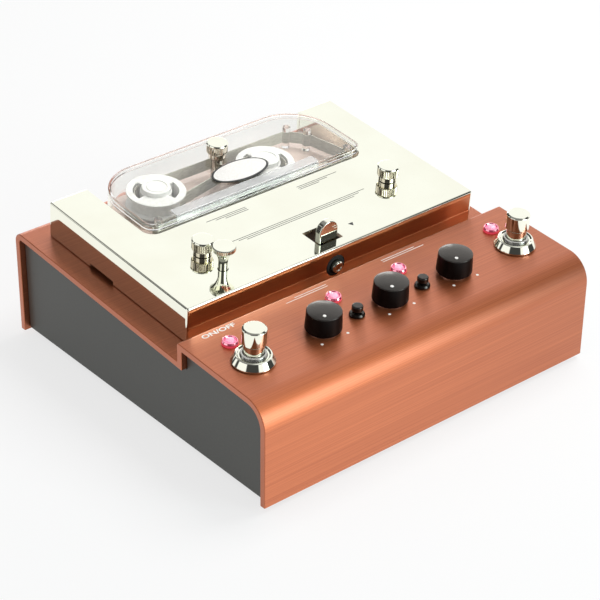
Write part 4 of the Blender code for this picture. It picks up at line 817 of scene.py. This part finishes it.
def make_cover_linings():
    """Flat strips set on edge: a polished fold down each side of the notch, and a dark plate behind each
    vent, which paints the shade inside the cover there."""
    fold = plate(rectangle(-0.25, 0.25, NOTCH_FRONT + 1.6, COVER_REAR - COVER_SHEET, 0.2), 1.0, 17.25, 0.15)
    folds = [moved(fold, side * (NOTCH_HALF + 0.4)) for side in (-1, 1)]
    make_piece("notch_folds", "chassis", joined(*folds), DECK, "polished_nickel")
    # Painted shade: a black plate behind each vent makes it read as dark as the shadowed inside of the cover.
    shade_plate = plate(rectangle(-0.4, 0.4, VENT_FRONT - 1.5, VENT_REAR + 1.5, 0.3), 0.4, VENT_HEIGHT + 1, 0.15)
    shade_plates = [moved(shade_plate, side * (COVER_HALF - 2.5)) for side in (-1, 1)]
    make_piece("vent_felts", "chassis", joined(*shade_plates), DECK, "rubber")


def soften(piece, width):
    """Breaks a piece's sharp edges with a small rounding."""
    edge = piece.modifiers.new("edge", "BEVEL")
    edge.width = width * MM
    edge.segments = 2
    edge.limit_method = "ANGLE"
    edge.angle_limit = math.radians(50)
    edge.harden_normals = True


def thumbscrew_barrel(shank_radius, shank_depth):
    """A knurled barrel on a narrower plain neck, with its shank below z = 0."""
    profile = rings(
        [
            (0, -shank_depth, 0), (shank_radius, -shank_depth, 0.2), (shank_radius, 0, 0), (4.4, 0, 0.15),
            (4.4, 2.2, 0), (4.4, 2.4, 0), (4.8, 2.4, 0.1), (5.1, 2.7, 0.05), (5.1, 2.9, 0), (5.1, 6.6, 0),
            (5.1, 6.8, 0.05), (4.9, 6.95, 0), (0, 6.95, 0),
        ]
    )
    return knurled(profile, 2.8, 6.7, 5.1, 30, 0.2)


def make_thumbscrew(name, node, barrel, place):
    """A thumb screw's barrel, and the polished disc on its top, which is a little wider."""
    disc = rings([(0, 6.97, 0), (5.4, 6.97, 0.1), (5.5, 7.4, 0.1), (5.1, 8.0, 0.3), (0, 8.0, 0)])
    make_piece(name, node, barrel, place, "knurled_nickel", [node])
    make_piece(f"{name}_top", node, turned(disc, 96), place, "polished_nickel")


def make_thumbscrews():
    """Two hold the cover, and one with a thinner, longer shank holds the cartridge on its pillar."""
    for name, column in COVER_SCREWS.items():
        place = DECK @ Matrix.Translation((column, SCREW_ROW, COVER_TOP + HEAD_GAP))
        make_thumbscrew(f"{name}_cover_screw", f"cover_thumbscrew_{name}", thumbscrew_barrel(2.0, 6.0), place)
    place = DECK @ Matrix.Translation((*PILLAR, CARTRIDGE_TOP + HEAD_GAP))
    make_thumbscrew("cartridge_screw", "cartridge_thumbscrew", thumbscrew_barrel(1.3, 9.0), place)


def make_release():
    """A turned mushroom: its neck flares as r = 2.3 + 3.25 t^2.2 for t from 0 to 1, up to a knurled rim."""
    share = np.linspace(0, 1, 12)
    flare = np.stack([2.3 + 3.25 * share**2.2, 22.6 + 7.0 * share], -1)
    head = rings([(5.55, 29.6, 0), (5.55, 31.2, 0), (5.1, 31.6, 0.25), (0, 31.6, 0)])
    foot = [(0, 4.5), (4.0, 4.5), (4.0, 6.7), (2.3, 6.7)]
    profile = np.concatenate([foot, flare, head])
    make_piece(
        "release_mushroom", "release_knob", knurled(profile, 29.5, 31.3, 5.55, 40, 0.15),
        DECK @ Matrix.Translation((*RELEASE, 0)), "polished_nickel", ["release_knob"],
    )


def make_lock_lever():
    """A flat blade with a half round top, on a wider foot that stays under the cover."""
    outline = eased(
        [
            (-9, 9.3, 0.6), (9, 9.3, 0.6), (9, 10.8, 0.6), (5.5, 10.8, 0.5), (5.5, 29.8, 5.45),
            (-5.5, 29.8, 5.45), (-5.5, 10.8, 0.5), (-9, 10.8, 0.6),
        ],
        10,
    )
    place = DECK @ Matrix.Translation((0, LEVER_FRONT, 0)) @ TO_FRONT
    blade = plate(outline, -3.6, 0, 0.45)
    make_piece("lock_blade", "lock_lever", blade, place, "polished_nickel", ["lock_lever"])


def make_front_screw():
    """A turned screw with a knurled head and a dished end, in a turned bush."""
    screw = rings(
        [
            (0, -5.2, 0), (1.5, -5.2, 0.2), (1.5, -1.5, 0), (2.95, -1.5, 0.1), (2.95, -1.2, 0),
            (2.95, 1.6, 0), (2.95, 1.9, 0.1), (2.5, 2.5, 0.2), (1.9, 2.5, 0.1), (1.7, 2.1, 0.1),
            (0, 2.1, 0),
        ]
    )
    bush = rings(
        [
            (3.3, -1.4, 0), (5.4, -1.4, 0.1), (5.4, -0.2, 0.2), (5.0, 0.1, 0.2), (3.3, 0.1, 0.2),
            (3.3, -1.4, 0),
        ]
    )
    make_piece("front_screw_bush", "chassis", turned(bush, 64), FRONT_HOLE_PLACE, "rubber")
    make_piece(
        "front_knurled_screw", "front_screw", knurled(screw, -1.3, 1.7, 2.95, 28, 0.13), FRONT_HOLE_PLACE,
        "polished_nickel", ["front_screw"],
    )


def make_cartridge():
    """Two clear trays that meet at a seam, and the turned posts inside them. Their outline has small front
    corners and large rear ones."""
    outline = eased(
        [
            (-CARTRIDGE_HALF, CARTRIDGE_FRONT, 6), (CARTRIDGE_HALF, CARTRIDGE_FRONT, 6),
            (CARTRIDGE_HALF, CARTRIDGE_REAR, 24), (-CARTRIDGE_HALF, CARTRIDGE_REAR, 24),
        ],
        14,
    )
    lid = tray(outline, CARTRIDGE_TOP, CARTRIDGE_SEAM + SEAM_GAP, CARTRIDGE_WALL, CARTRIDGE_WALL, 0.9)
    screw_hole = moved(drill(1.6, *THROUGH), *PILLAR, CARTRIDGE_TOP)
    make_piece("clear_lid", "cartridge", lid, DECK, "clear_plastic", ["cartridge_lid"], [(screw_hole, DECK)])

    tub = tray(outline, CARTRIDGE_FLOOR, CARTRIDGE_SEAM - SEAM_GAP, CARTRIDGE_WALL, TUB_SHEET, 0.6)
    window = layered(rectangle(*TUB_WINDOW), [(0, CARTRIDGE_FLOOR - 1), (0, TUB_WINDOW_TOP)])
    pillar_hole = moved(drill(3.1, -1, TUB_SHEET + 1), *PILLAR, CARTRIDGE_FLOOR)
    make_piece(
        "clear_tub", "cartridge", tub, DECK, "clear_plastic", ["cartridge_base"],
        [(window, DECK), (pillar_hole, DECK)],
    )
    foot = CARTRIDGE_FLOOR + TUB_SHEET + 0.05
    post = turned([(0, foot), (2.0, foot), (2.0, 22.1), (0, 22.1)], 32)
    spindle = turned(rings([(0, foot, 0), (2.5, foot, 0), (2.5, 20.8, 0.4), (0, 20.8, 0)]), 40)
    posts = [moved(post, x, y) for x, y in POSTS] + [moved(spindle, x, y) for x, y in REELS.values()]
    make_piece("clear_posts", "cartridge", joined(*posts), DECK, "clear_plastic")


def make_lid_details():
    """The lid's front rail, a matt step with a lip that hangs behind the wall, and the blank oval badge:
    x = 16.5 cos t, y = 8.5 sin t."""
    left, right = -50, 38
    step = rectangle(left, right, 67.0, 72.6, 0.9, 5)
    step = plate(step, CARTRIDGE_TOP + 0.01, CARTRIDGE_TOP + 0.5, 0.22)
    lip = plate(rectangle(left, right, 67.35, 68.3, 0.4, 4), 18.9, CARTRIDGE_TOP - 1.3, 0.15)
    rail = make_piece("lid_front_step", "cartridge", joined(step, lip), DECK, "misted_plastic")
    hide_from_mirrors(rail)

    angle = np.linspace(0, math.tau, 96, endpoint=False)
    oval = np.stack([16.5 * np.cos(angle), 8.5 * np.sin(angle)], -1)
    rim_plate = plate(oval, 0, 0.42, 0.1)
    face_plate = plate(oval * (0.93, 0.88), 0.43, 0.5, 0.02)
    place = DECK @ Matrix.Translation((0, BADGE_ROW, CARTRIDGE_TOP + HEAD_GAP))
    make_piece("oval_badge_rim", "cartridge", rim_plate, place, "dark_print", ["cartridge_badge"])
    make_piece("oval_badge_face", "cartridge", face_plate, place, "white_print")


def make_reels():
    """A turned reel with a wide flange at each end of its drum, and two windows, each a piece of a ring that
    spans 80 degrees."""
    reel = rings(
        [
            (0, 20.9, 0), (2.8, 20.9, 0), (2.8, 10.6, 0), (14.7, 10.6, 0.15), (14.7, 11.5, 0.15),
            (12.0, 11.5, 0.1), (12.0, 18.4, 0.1), (14.7, 18.4, 0.15), (14.7, 19.3, 0.2), (7.3, 19.3, 0.1),
            (7.1, 21.6, 0.35), (5.5, 21.6, 0.2), (5.3, 21.2, 0.1), (4.9, 21.2, 0.1), (4.7, 21.45, 0.1),
            (0, 21.45, 0),
        ]
    )
    inner, outer, middle = 7.7, 11.3, 147
    angle = np.radians(np.linspace(-40, 40, 13) + middle)
    arc = np.stack([np.cos(angle), np.sin(angle)], -1)
    window = layered(np.concatenate([inner * arc, outer * arc[::-1]]), [(0, 10), (0, 21)])
    for name, (x, y) in REELS.items():
        place = DECK @ Matrix.Translation((x, y, 0))
        windows = [(window, place @ Matrix.Rotation(math.pi * k, 4, "Z")) for k in range(2)]
        make_piece(
            f"{name}_white_reel", f"{name}_reel", turned(reel, 96), place, "white_plastic", [f"{name}_reel"],
            windows,
        )


# Rear


def make_sockets():
    """Each jack is a turned barrel with its bore, its nut a hexagon with its corners taken off, and the power
    socket a turned cup round a pin."""
    body = rings(
        [
            (0, -25.5, 0), (8.5, -25.5, 0.4), (8.5, -3.5, 0.3), (5.5, -3.5, 0), (5.5, 0.3, 0),
            (7.4, 0.3, 0.1), (7.4, 0.7, 0.1), (5.4, 0.7, 0.05), (5.4, 2.5, 0.2), (3.9, 2.5, 0.2),
            (3.3, 2.1, 0.1), (3.3, -17.5, 0), (0, -17.5, 0),
        ]
    )
    nut = layered(hexagon(12.9), [(0.5, 0.75), (0, 0.95), (0, 2.0), (0.35, 2.3)])
    bore = turned([(0, 0), (5.5, 0), (5.5, 3), (0, 3)], 72)
    for name, column in SOCKETS.items():
        place = on_rear(column)
        make_piece(f"{name}_socket", "chassis", turned(body, 72), place, "bright_steel", [f"{name}_jack"])
        make_piece(f"{name}_socket_nut", "chassis", nut, place, "polished_nickel", (), [(bore, place)])
    inlet = rings(
        [
            (0, -17.5, 0), (6.5, -17.5, 0.3), (6.5, -3.5, 0.2), (5.0, -3.5, 0), (5.0, 0.3, 0),
            (6.2, 0.3, 0.1), (6.2, 1.5, 0.3), (3.3, 1.5, 0.15), (3.0, 1.2, 0.1), (3.0, -8.5, 0),
            (1.0, -8.5, 0), (1.0, 0.0, 0.3), (0, 0.0, 0),
        ]
    )
    make_piece("power_socket", "chassis", turned(inlet, 72), on_rear(INLET), "black_plastic", ["power_inlet"])


# Print


def rules(rows, level, width):
    """Thin raised bars of ink with round ends. Each row is a bar's left end, right end and place across."""
    bars = []
    for left, right, row in rows:
        outline = rectangle(left, right, -width / 2, width / 2, width / 4, 2)
        bars.append(moved(layered(outline, [(0, 0), (0, INK)]), 0, row, level))
    return joined(*bars)


def make_print():
    """Rules on the panel and the cover, two end dots below each knob, and a small triangle by the lever."""
    dot = turned([(0, 0), (0.72, 0), (0.68, INK), (0, INK)], 20)
    row = CONTROL_ROW - END_DOT_BELOW
    dots = [moved(dot, x + side * END_DOT_ACROSS, row) for x in KNOBS.values() for side in (-1, 1)]
    lines = rules(PANEL_RULES, 0, PANEL_RULE_WIDTH)
    make_piece("panel_print", "chassis", joined(lines, *dots), PANEL, "white_print")

    lines = rules(COVER_RULES, COVER_TOP, COVER_RULE_WIDTH)
    corners = eased([(17.6, 20.9, 0.05), (20.6, 20.9, 0.05), (19.1, 18.4, 0.05)], 2)
    triangle = layered(corners, [(0, COVER_TOP), (0, COVER_TOP + INK)])
    make_piece("cover_print", "chassis", joined(lines, triangle), DECK, "dark_print")


def make_words():
    """The words above the left lamp, as a thin mesh drawn out to their width."""
    words = bpy.data.curves.new("on_off", "FONT")
    words.body = SWITCH_WORDS
    words.size = WORDS_SIZE
    words.extrude = INK / 2
    words.offset = WORDS_THICKENED
    holder = bpy.data.objects.new("on_off", words)
    bpy.context.scene.collection.objects.link(holder)
    bpy.context.view_layer.update()
    mesh = bpy.data.meshes.new_from_object(holder)
    bpy.data.objects.remove(holder)
    width = max(v.co.x for v in mesh.vertices) - min(v.co.x for v in mesh.vertices)
    place = PANEL @ Matrix.Translation((*WORDS_AT, INK / 2 + 0.001))
    mesh.transform(Matrix.Scale(MM, 4) @ place @ Matrix.Diagonal((WORDS_WIDTH / width, 1, 1, 1)))
    mesh.materials.append(FINISHES["white_print"])
    piece = bpy.data.objects.new("on_off_print", mesh)
    bpy.context.scene.collection.objects.link(piece)
    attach(piece, "chassis")


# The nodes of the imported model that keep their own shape, under the finish that they get
KEPT = {
    "plain_aluminium": ["deck_plate"],
    "bright_steel": [
        "cartridge_pillar", "erase_head", "record_head", "short_playback_head", "long_playback_head",
        "capstan_shaft", "motor", "pinch_arm", "level_pot", "feedback_pot", "time_pot",
    ],
    "turned_brass": ["capstan_bearing", "flywheel", "motor_pulley"],
    "rubber": ["drive_belt", "pinch_roller"],
    "green_board": ["main_board"],
    "tape": ["tape_loop"],
}


def dress_kept_nodes():
    """Gives each kept node its finish in the slot that it has."""
    for finish, names in KEPT.items():
        for name in names:
            frame["nodes"][name].material_slots[0].material = FINISHES[finish]


# Studio

# The camera that was fitted to the photo: its angles in degrees, its aim and distance in millimetres, and
# its focal length and middle in pixels of the photo
BEARING = -39.85
ELEVATION = 32.27
ROLL = 0.461
AIM_DEPTH = 100
AIM_HEIGHT = 30
AIM_RIGHT = -4.6
AIM_UP = -19.0
DISTANCE = 1035.4
PHOTO_SIDE_PX = 600
FOCAL_PX = 2118.7
MIDDLE_PX = (284.5, 324.3)
SENSOR = 36

# The floor's front, rear and side edges in metres, and the share of it that is plain white to the eye,
# which leaves only a faint shadow
FLOOR_FRONT = -0.42
FLOOR_REAR = 4
FLOOR_SIDE = 3
FLOOR_WHITE_SHARE = 0.72

# What shiny surfaces see round the object at the height of the table: white screens with dark gaps between
# them, as (bearing from the front in degrees, brightness)
SCREENS = [
    (-152, 0.05), (-148, 1.0), (-137, 1.0), (-132, 0.05), (-122, 0.05), (-118, 1.0), (-74, 1.0), (-70, 0.05),
    (-12, 0.05), (-8, 1.0), (36, 1.0), (40, 0.05), (72, 0.05), (78, 1.0), (160, 1.0), (164, 0.05),
]

# The same higher up: the white screen behind on the right alone
SCREENS_ABOVE = [(-176, 0.05), (84, 0.05), (104, 1.0), (168, 1.0)]

# Where the upper screens and the ceiling begin and are whole, as the height of the direction that a surface
# looks in, from 0 level to 1 straight up, and where the ceiling turns from left to right and from front to
# rear
UPPER_SCREENS = (0.57, 0.61)
CEILING = (0.70, 0.82)
CEILING_TO_RIGHT = (0.1, 0.3)
CEILING_TO_REAR = (0.3, 0.5)

# How bright the ceiling is, and how bright all round is to what isn't shiny
CEILING_LEFT = 0.25
CEILING_FRONT = 0.85
CEILING_REAR = 0.7
SOFT_LIGHT = 0.5

# The lamps: place and size in metres, power in watts, tint, and whether shiny surfaces show them. The
# softbox is a little blue, which keeps the copper's highlight from turning red.
STUDIO_LAMPS = {
    "overhead": ((0.42, -0.05, 0.86), (0.55, 0.55), 5.0, "FFFFFF", False),
    "front_softbox": ((0.50, -1.175, 0.36), (0.55, 0.85), 7.4, "ECFFFF", True),
    "rear_strip": ((0.61, 0.945, 0.371), (0.6, 0.25), 1.25, "FFFFFF", True),
}


def make_camera():
    """Looks at the aim from the bearing and elevation, and is turned about its line of sight by the roll."""
    bearing, elevation, roll = [math.radians(angle) for angle in (BEARING, ELEVATION, ROLL)]
    level = math.cos(elevation)
    back = Vector((math.sin(bearing) * level, -math.cos(bearing) * level, math.sin(elevation)))
    right = Vector((math.cos(bearing), math.sin(bearing), 0))
    up = back.cross(right)
    aim = Vector((0, AIM_DEPTH + FRONT_Y, AIM_HEIGHT + BOTTOM)) + right * AIM_RIGHT + up * AIM_UP
    across = right * math.cos(roll) + up * math.sin(roll)
    upward = up * math.cos(roll) - right * math.sin(roll)
    data = bpy.data.cameras.new("camera")
    data.sensor_width = SENSOR
    data.lens = FOCAL_PX * SENSOR / PHOTO_SIDE_PX
    data.shift_x = 0.5 - MIDDLE_PX[0] / PHOTO_SIDE_PX
    data.shift_y = MIDDLE_PX[1] / PHOTO_SIDE_PX - 0.5
    camera = bpy.data.objects.new("camera", data)
    turn = Matrix((across, upward, back)).transposed().to_4x4()
    camera.matrix_world = Matrix.Translation((aim + back * DISTANCE) * MM) @ turn
    bpy.context.scene.collection.objects.link(camera)
    bpy.context.scene.camera = camera


def make_floor():
    """White paper that takes the shadow, mixed with plain white where the camera, a mirror or a clear piece
    sees it."""
    front = [(side, FLOOR_FRONT, 0) for side in (-FLOOR_SIDE, FLOOR_SIDE)]
    rear = [(side, FLOOR_REAR, 0) for side in (FLOOR_SIDE, -FLOOR_SIDE)]
    mesh = bpy.data.meshes.new("floor")
    mesh.from_pydata(front + rear, [], [(0, 1, 2, 3)])
    material = bpy.data.materials.new("paper_white")
    material.use_nodes = True
    tree = material.node_tree
    tree.nodes.clear()
    paper = add(tree, "ShaderNodeBsdfDiffuse", {"Color": linear("F4F4F4")})
    white = add(tree, "ShaderNodeEmission", {"Color": (1, 1, 1, 1), "Strength": 1.0})
    ray = add(tree, "ShaderNodeLightPath").outputs
    straight = add(
        tree, "ShaderNodeMath", {0: ray["Is Camera Ray"], 1: ray["Is Glossy Ray"]}, operation="MAXIMUM"
    )
    seen = add(
        tree, "ShaderNodeMath", {0: straight.outputs[0], 1: ray["Is Transmission Ray"]}, operation="MAXIMUM"
    )
    share = add(tree, "ShaderNodeMath", {0: seen.outputs[0], 1: FLOOR_WHITE_SHARE}, operation="MULTIPLY")
    mix = add(tree, "ShaderNodeMixShader", {0: share.outputs[0], 1: paper.outputs[0], 2: white.outputs[0]})
    add(tree, "ShaderNodeOutputMaterial", {"Surface": mix.outputs[0]})
    mesh.materials.append(material)
    floor = bpy.data.objects.new("floor", mesh)
    bpy.context.scene.collection.objects.link(floor)


def screens(tree, share, stops):
    """The brightness round the object at the given share of a whole turn, from the rear."""
    around = add(tree, "ShaderNodeValToRGB", {"Fac": share})
    ramp = around.color_ramp
    for degrees, level in stops:
        stop = ramp.elements.new((degrees + 180) / 360)
        stop.color = (level, level, level, 1)
    ends = stops[0][1]
    ramp.elements[0].color = ramp.elements[-1].color = (ends, ends, ends, 1)
    return around.outputs["Color"]


def make_surroundings():
    """White to the camera, soft and even to what isn't shiny, and screens under a ceiling to what is: a
    direction's bearing finds its place on the screens, and its height passes from the low screens to the
    upper ones and on to the ceiling."""
    world = bpy.context.scene.world or bpy.data.worlds.new("studio")
    bpy.context.scene.world = world
    world.use_nodes = True
    tree = world.node_tree
    tree.nodes.clear()
    ray = add(tree, "ShaderNodeLightPath").outputs
    direction = add(tree, "ShaderNodeTexCoord").outputs["Generated"]
    axes = add(tree, "ShaderNodeSeparateXYZ", {"Vector": direction}).outputs
    front = add(tree, "ShaderNodeMath", {0: axes["Y"], 1: -1.0}, operation="MULTIPLY")
    bearing = add(tree, "ShaderNodeMath", {0: axes["X"], 1: front.outputs[0]}, operation="ARCTAN2")
    share = add(
        tree, "ShaderNodeMapRange", {"Value": bearing.outputs[0], "From Min": -math.pi, "From Max": math.pi}
    )
    low, above = [screens(tree, share.outputs["Result"], stops) for stops in (SCREENS, SCREENS_ABOVE)]
    upper, overhead, to_right, to_rear = [
        add(
            tree, "ShaderNodeMapRange", {"Value": axes[axis], "From Min": begins, "From Max": whole},
            interpolation_type="SMOOTHSTEP",
        ).outputs["Result"]
        for axis, (begins, whole) in (
            ("Z", UPPER_SCREENS), ("Z", CEILING), ("X", CEILING_TO_RIGHT), ("Y", CEILING_TO_REAR),
        )
    ]
    sides = add(tree, "ShaderNodeMix", {0: upper, 2: low, 3: above}, data_type="FLOAT")
    right = add(tree, "ShaderNodeMix", {0: to_rear, 2: CEILING_FRONT, 3: CEILING_REAR}, data_type="FLOAT")
    ceiling = add(
        tree, "ShaderNodeMix", {0: to_right, 2: CEILING_LEFT, 3: right.outputs[0]}, data_type="FLOAT"
    )
    gloss = add(
        tree, "ShaderNodeMix", {0: overhead, 2: sides.outputs[0], 3: ceiling.outputs[0]}, data_type="FLOAT"
    )
    shine = add(
        tree, "ShaderNodeMix", {0: ray["Is Glossy Ray"], 2: SOFT_LIGHT, 3: gloss.outputs[0]},
        data_type="FLOAT",
    )
    seen = add(
        tree, "ShaderNodeMath", {0: ray["Is Camera Ray"], 1: ray["Is Transmission Ray"]}, operation="MAXIMUM"
    )
    strength = add(
        tree, "ShaderNodeMix", {0: seen.outputs[0], 2: shine.outputs[0], 3: 1.0}, data_type="FLOAT"
    )
    background = add(tree, "ShaderNodeBackground", {"Color": (1, 1, 1, 1), "Strength": strength.outputs[0]})
    add(tree, "ShaderNodeOutputWorld", {"Surface": background.outputs[0]})


def make_studio_lamps():
    """Flat lamps that face the object's middle."""
    for name, (at, (wide, high), power, tint, shines) in STUDIO_LAMPS.items():
        data = bpy.data.lights.new(name, "AREA")
        data.shape = "RECTANGLE"
        data.size = wide
        data.size_y = high
        data.energy = power
        data.color = linear(tint)[:3]
        lamp = bpy.data.objects.new(name, data)
        lamp.location = at
        lamp.rotation_mode = "QUATERNION"
        lamp.rotation_quaternion = Vector(at).to_track_quat("Z", "Y")
        lamp.visible_glossy = shines
        bpy.context.scene.collection.objects.link(lamp)


def let_light_through():
    """Clear pieces cast no shadow, so that the lamps reach what they cover, and leave no dark lines in the
    mirrors."""
    for piece in bpy.data.objects:
        if piece.type == "MESH" and FINISHES["clear_plastic"] in list(piece.data.materials):
            piece.visible_shadow = False
            hide_from_mirrors(piece)


FINISHES = make_finishes()

make_camera()
make_casing()
make_side_panels()
make_underside()
make_knobs()
make_buttons()
make_lamps()
make_footswitches()
make_cover()
make_cover_linings()
make_thumbscrews()
make_release()
make_lock_lever()
make_front_screw()
make_cartridge()
make_lid_details()
make_reels()
make_sockets()
make_print()
make_words()
dress_kept_nodes()
let_light_through()
make_floor()
make_surroundings()
make_studio_lamps()
bpy.context.scene.view_settings.view_transform = "Standard"
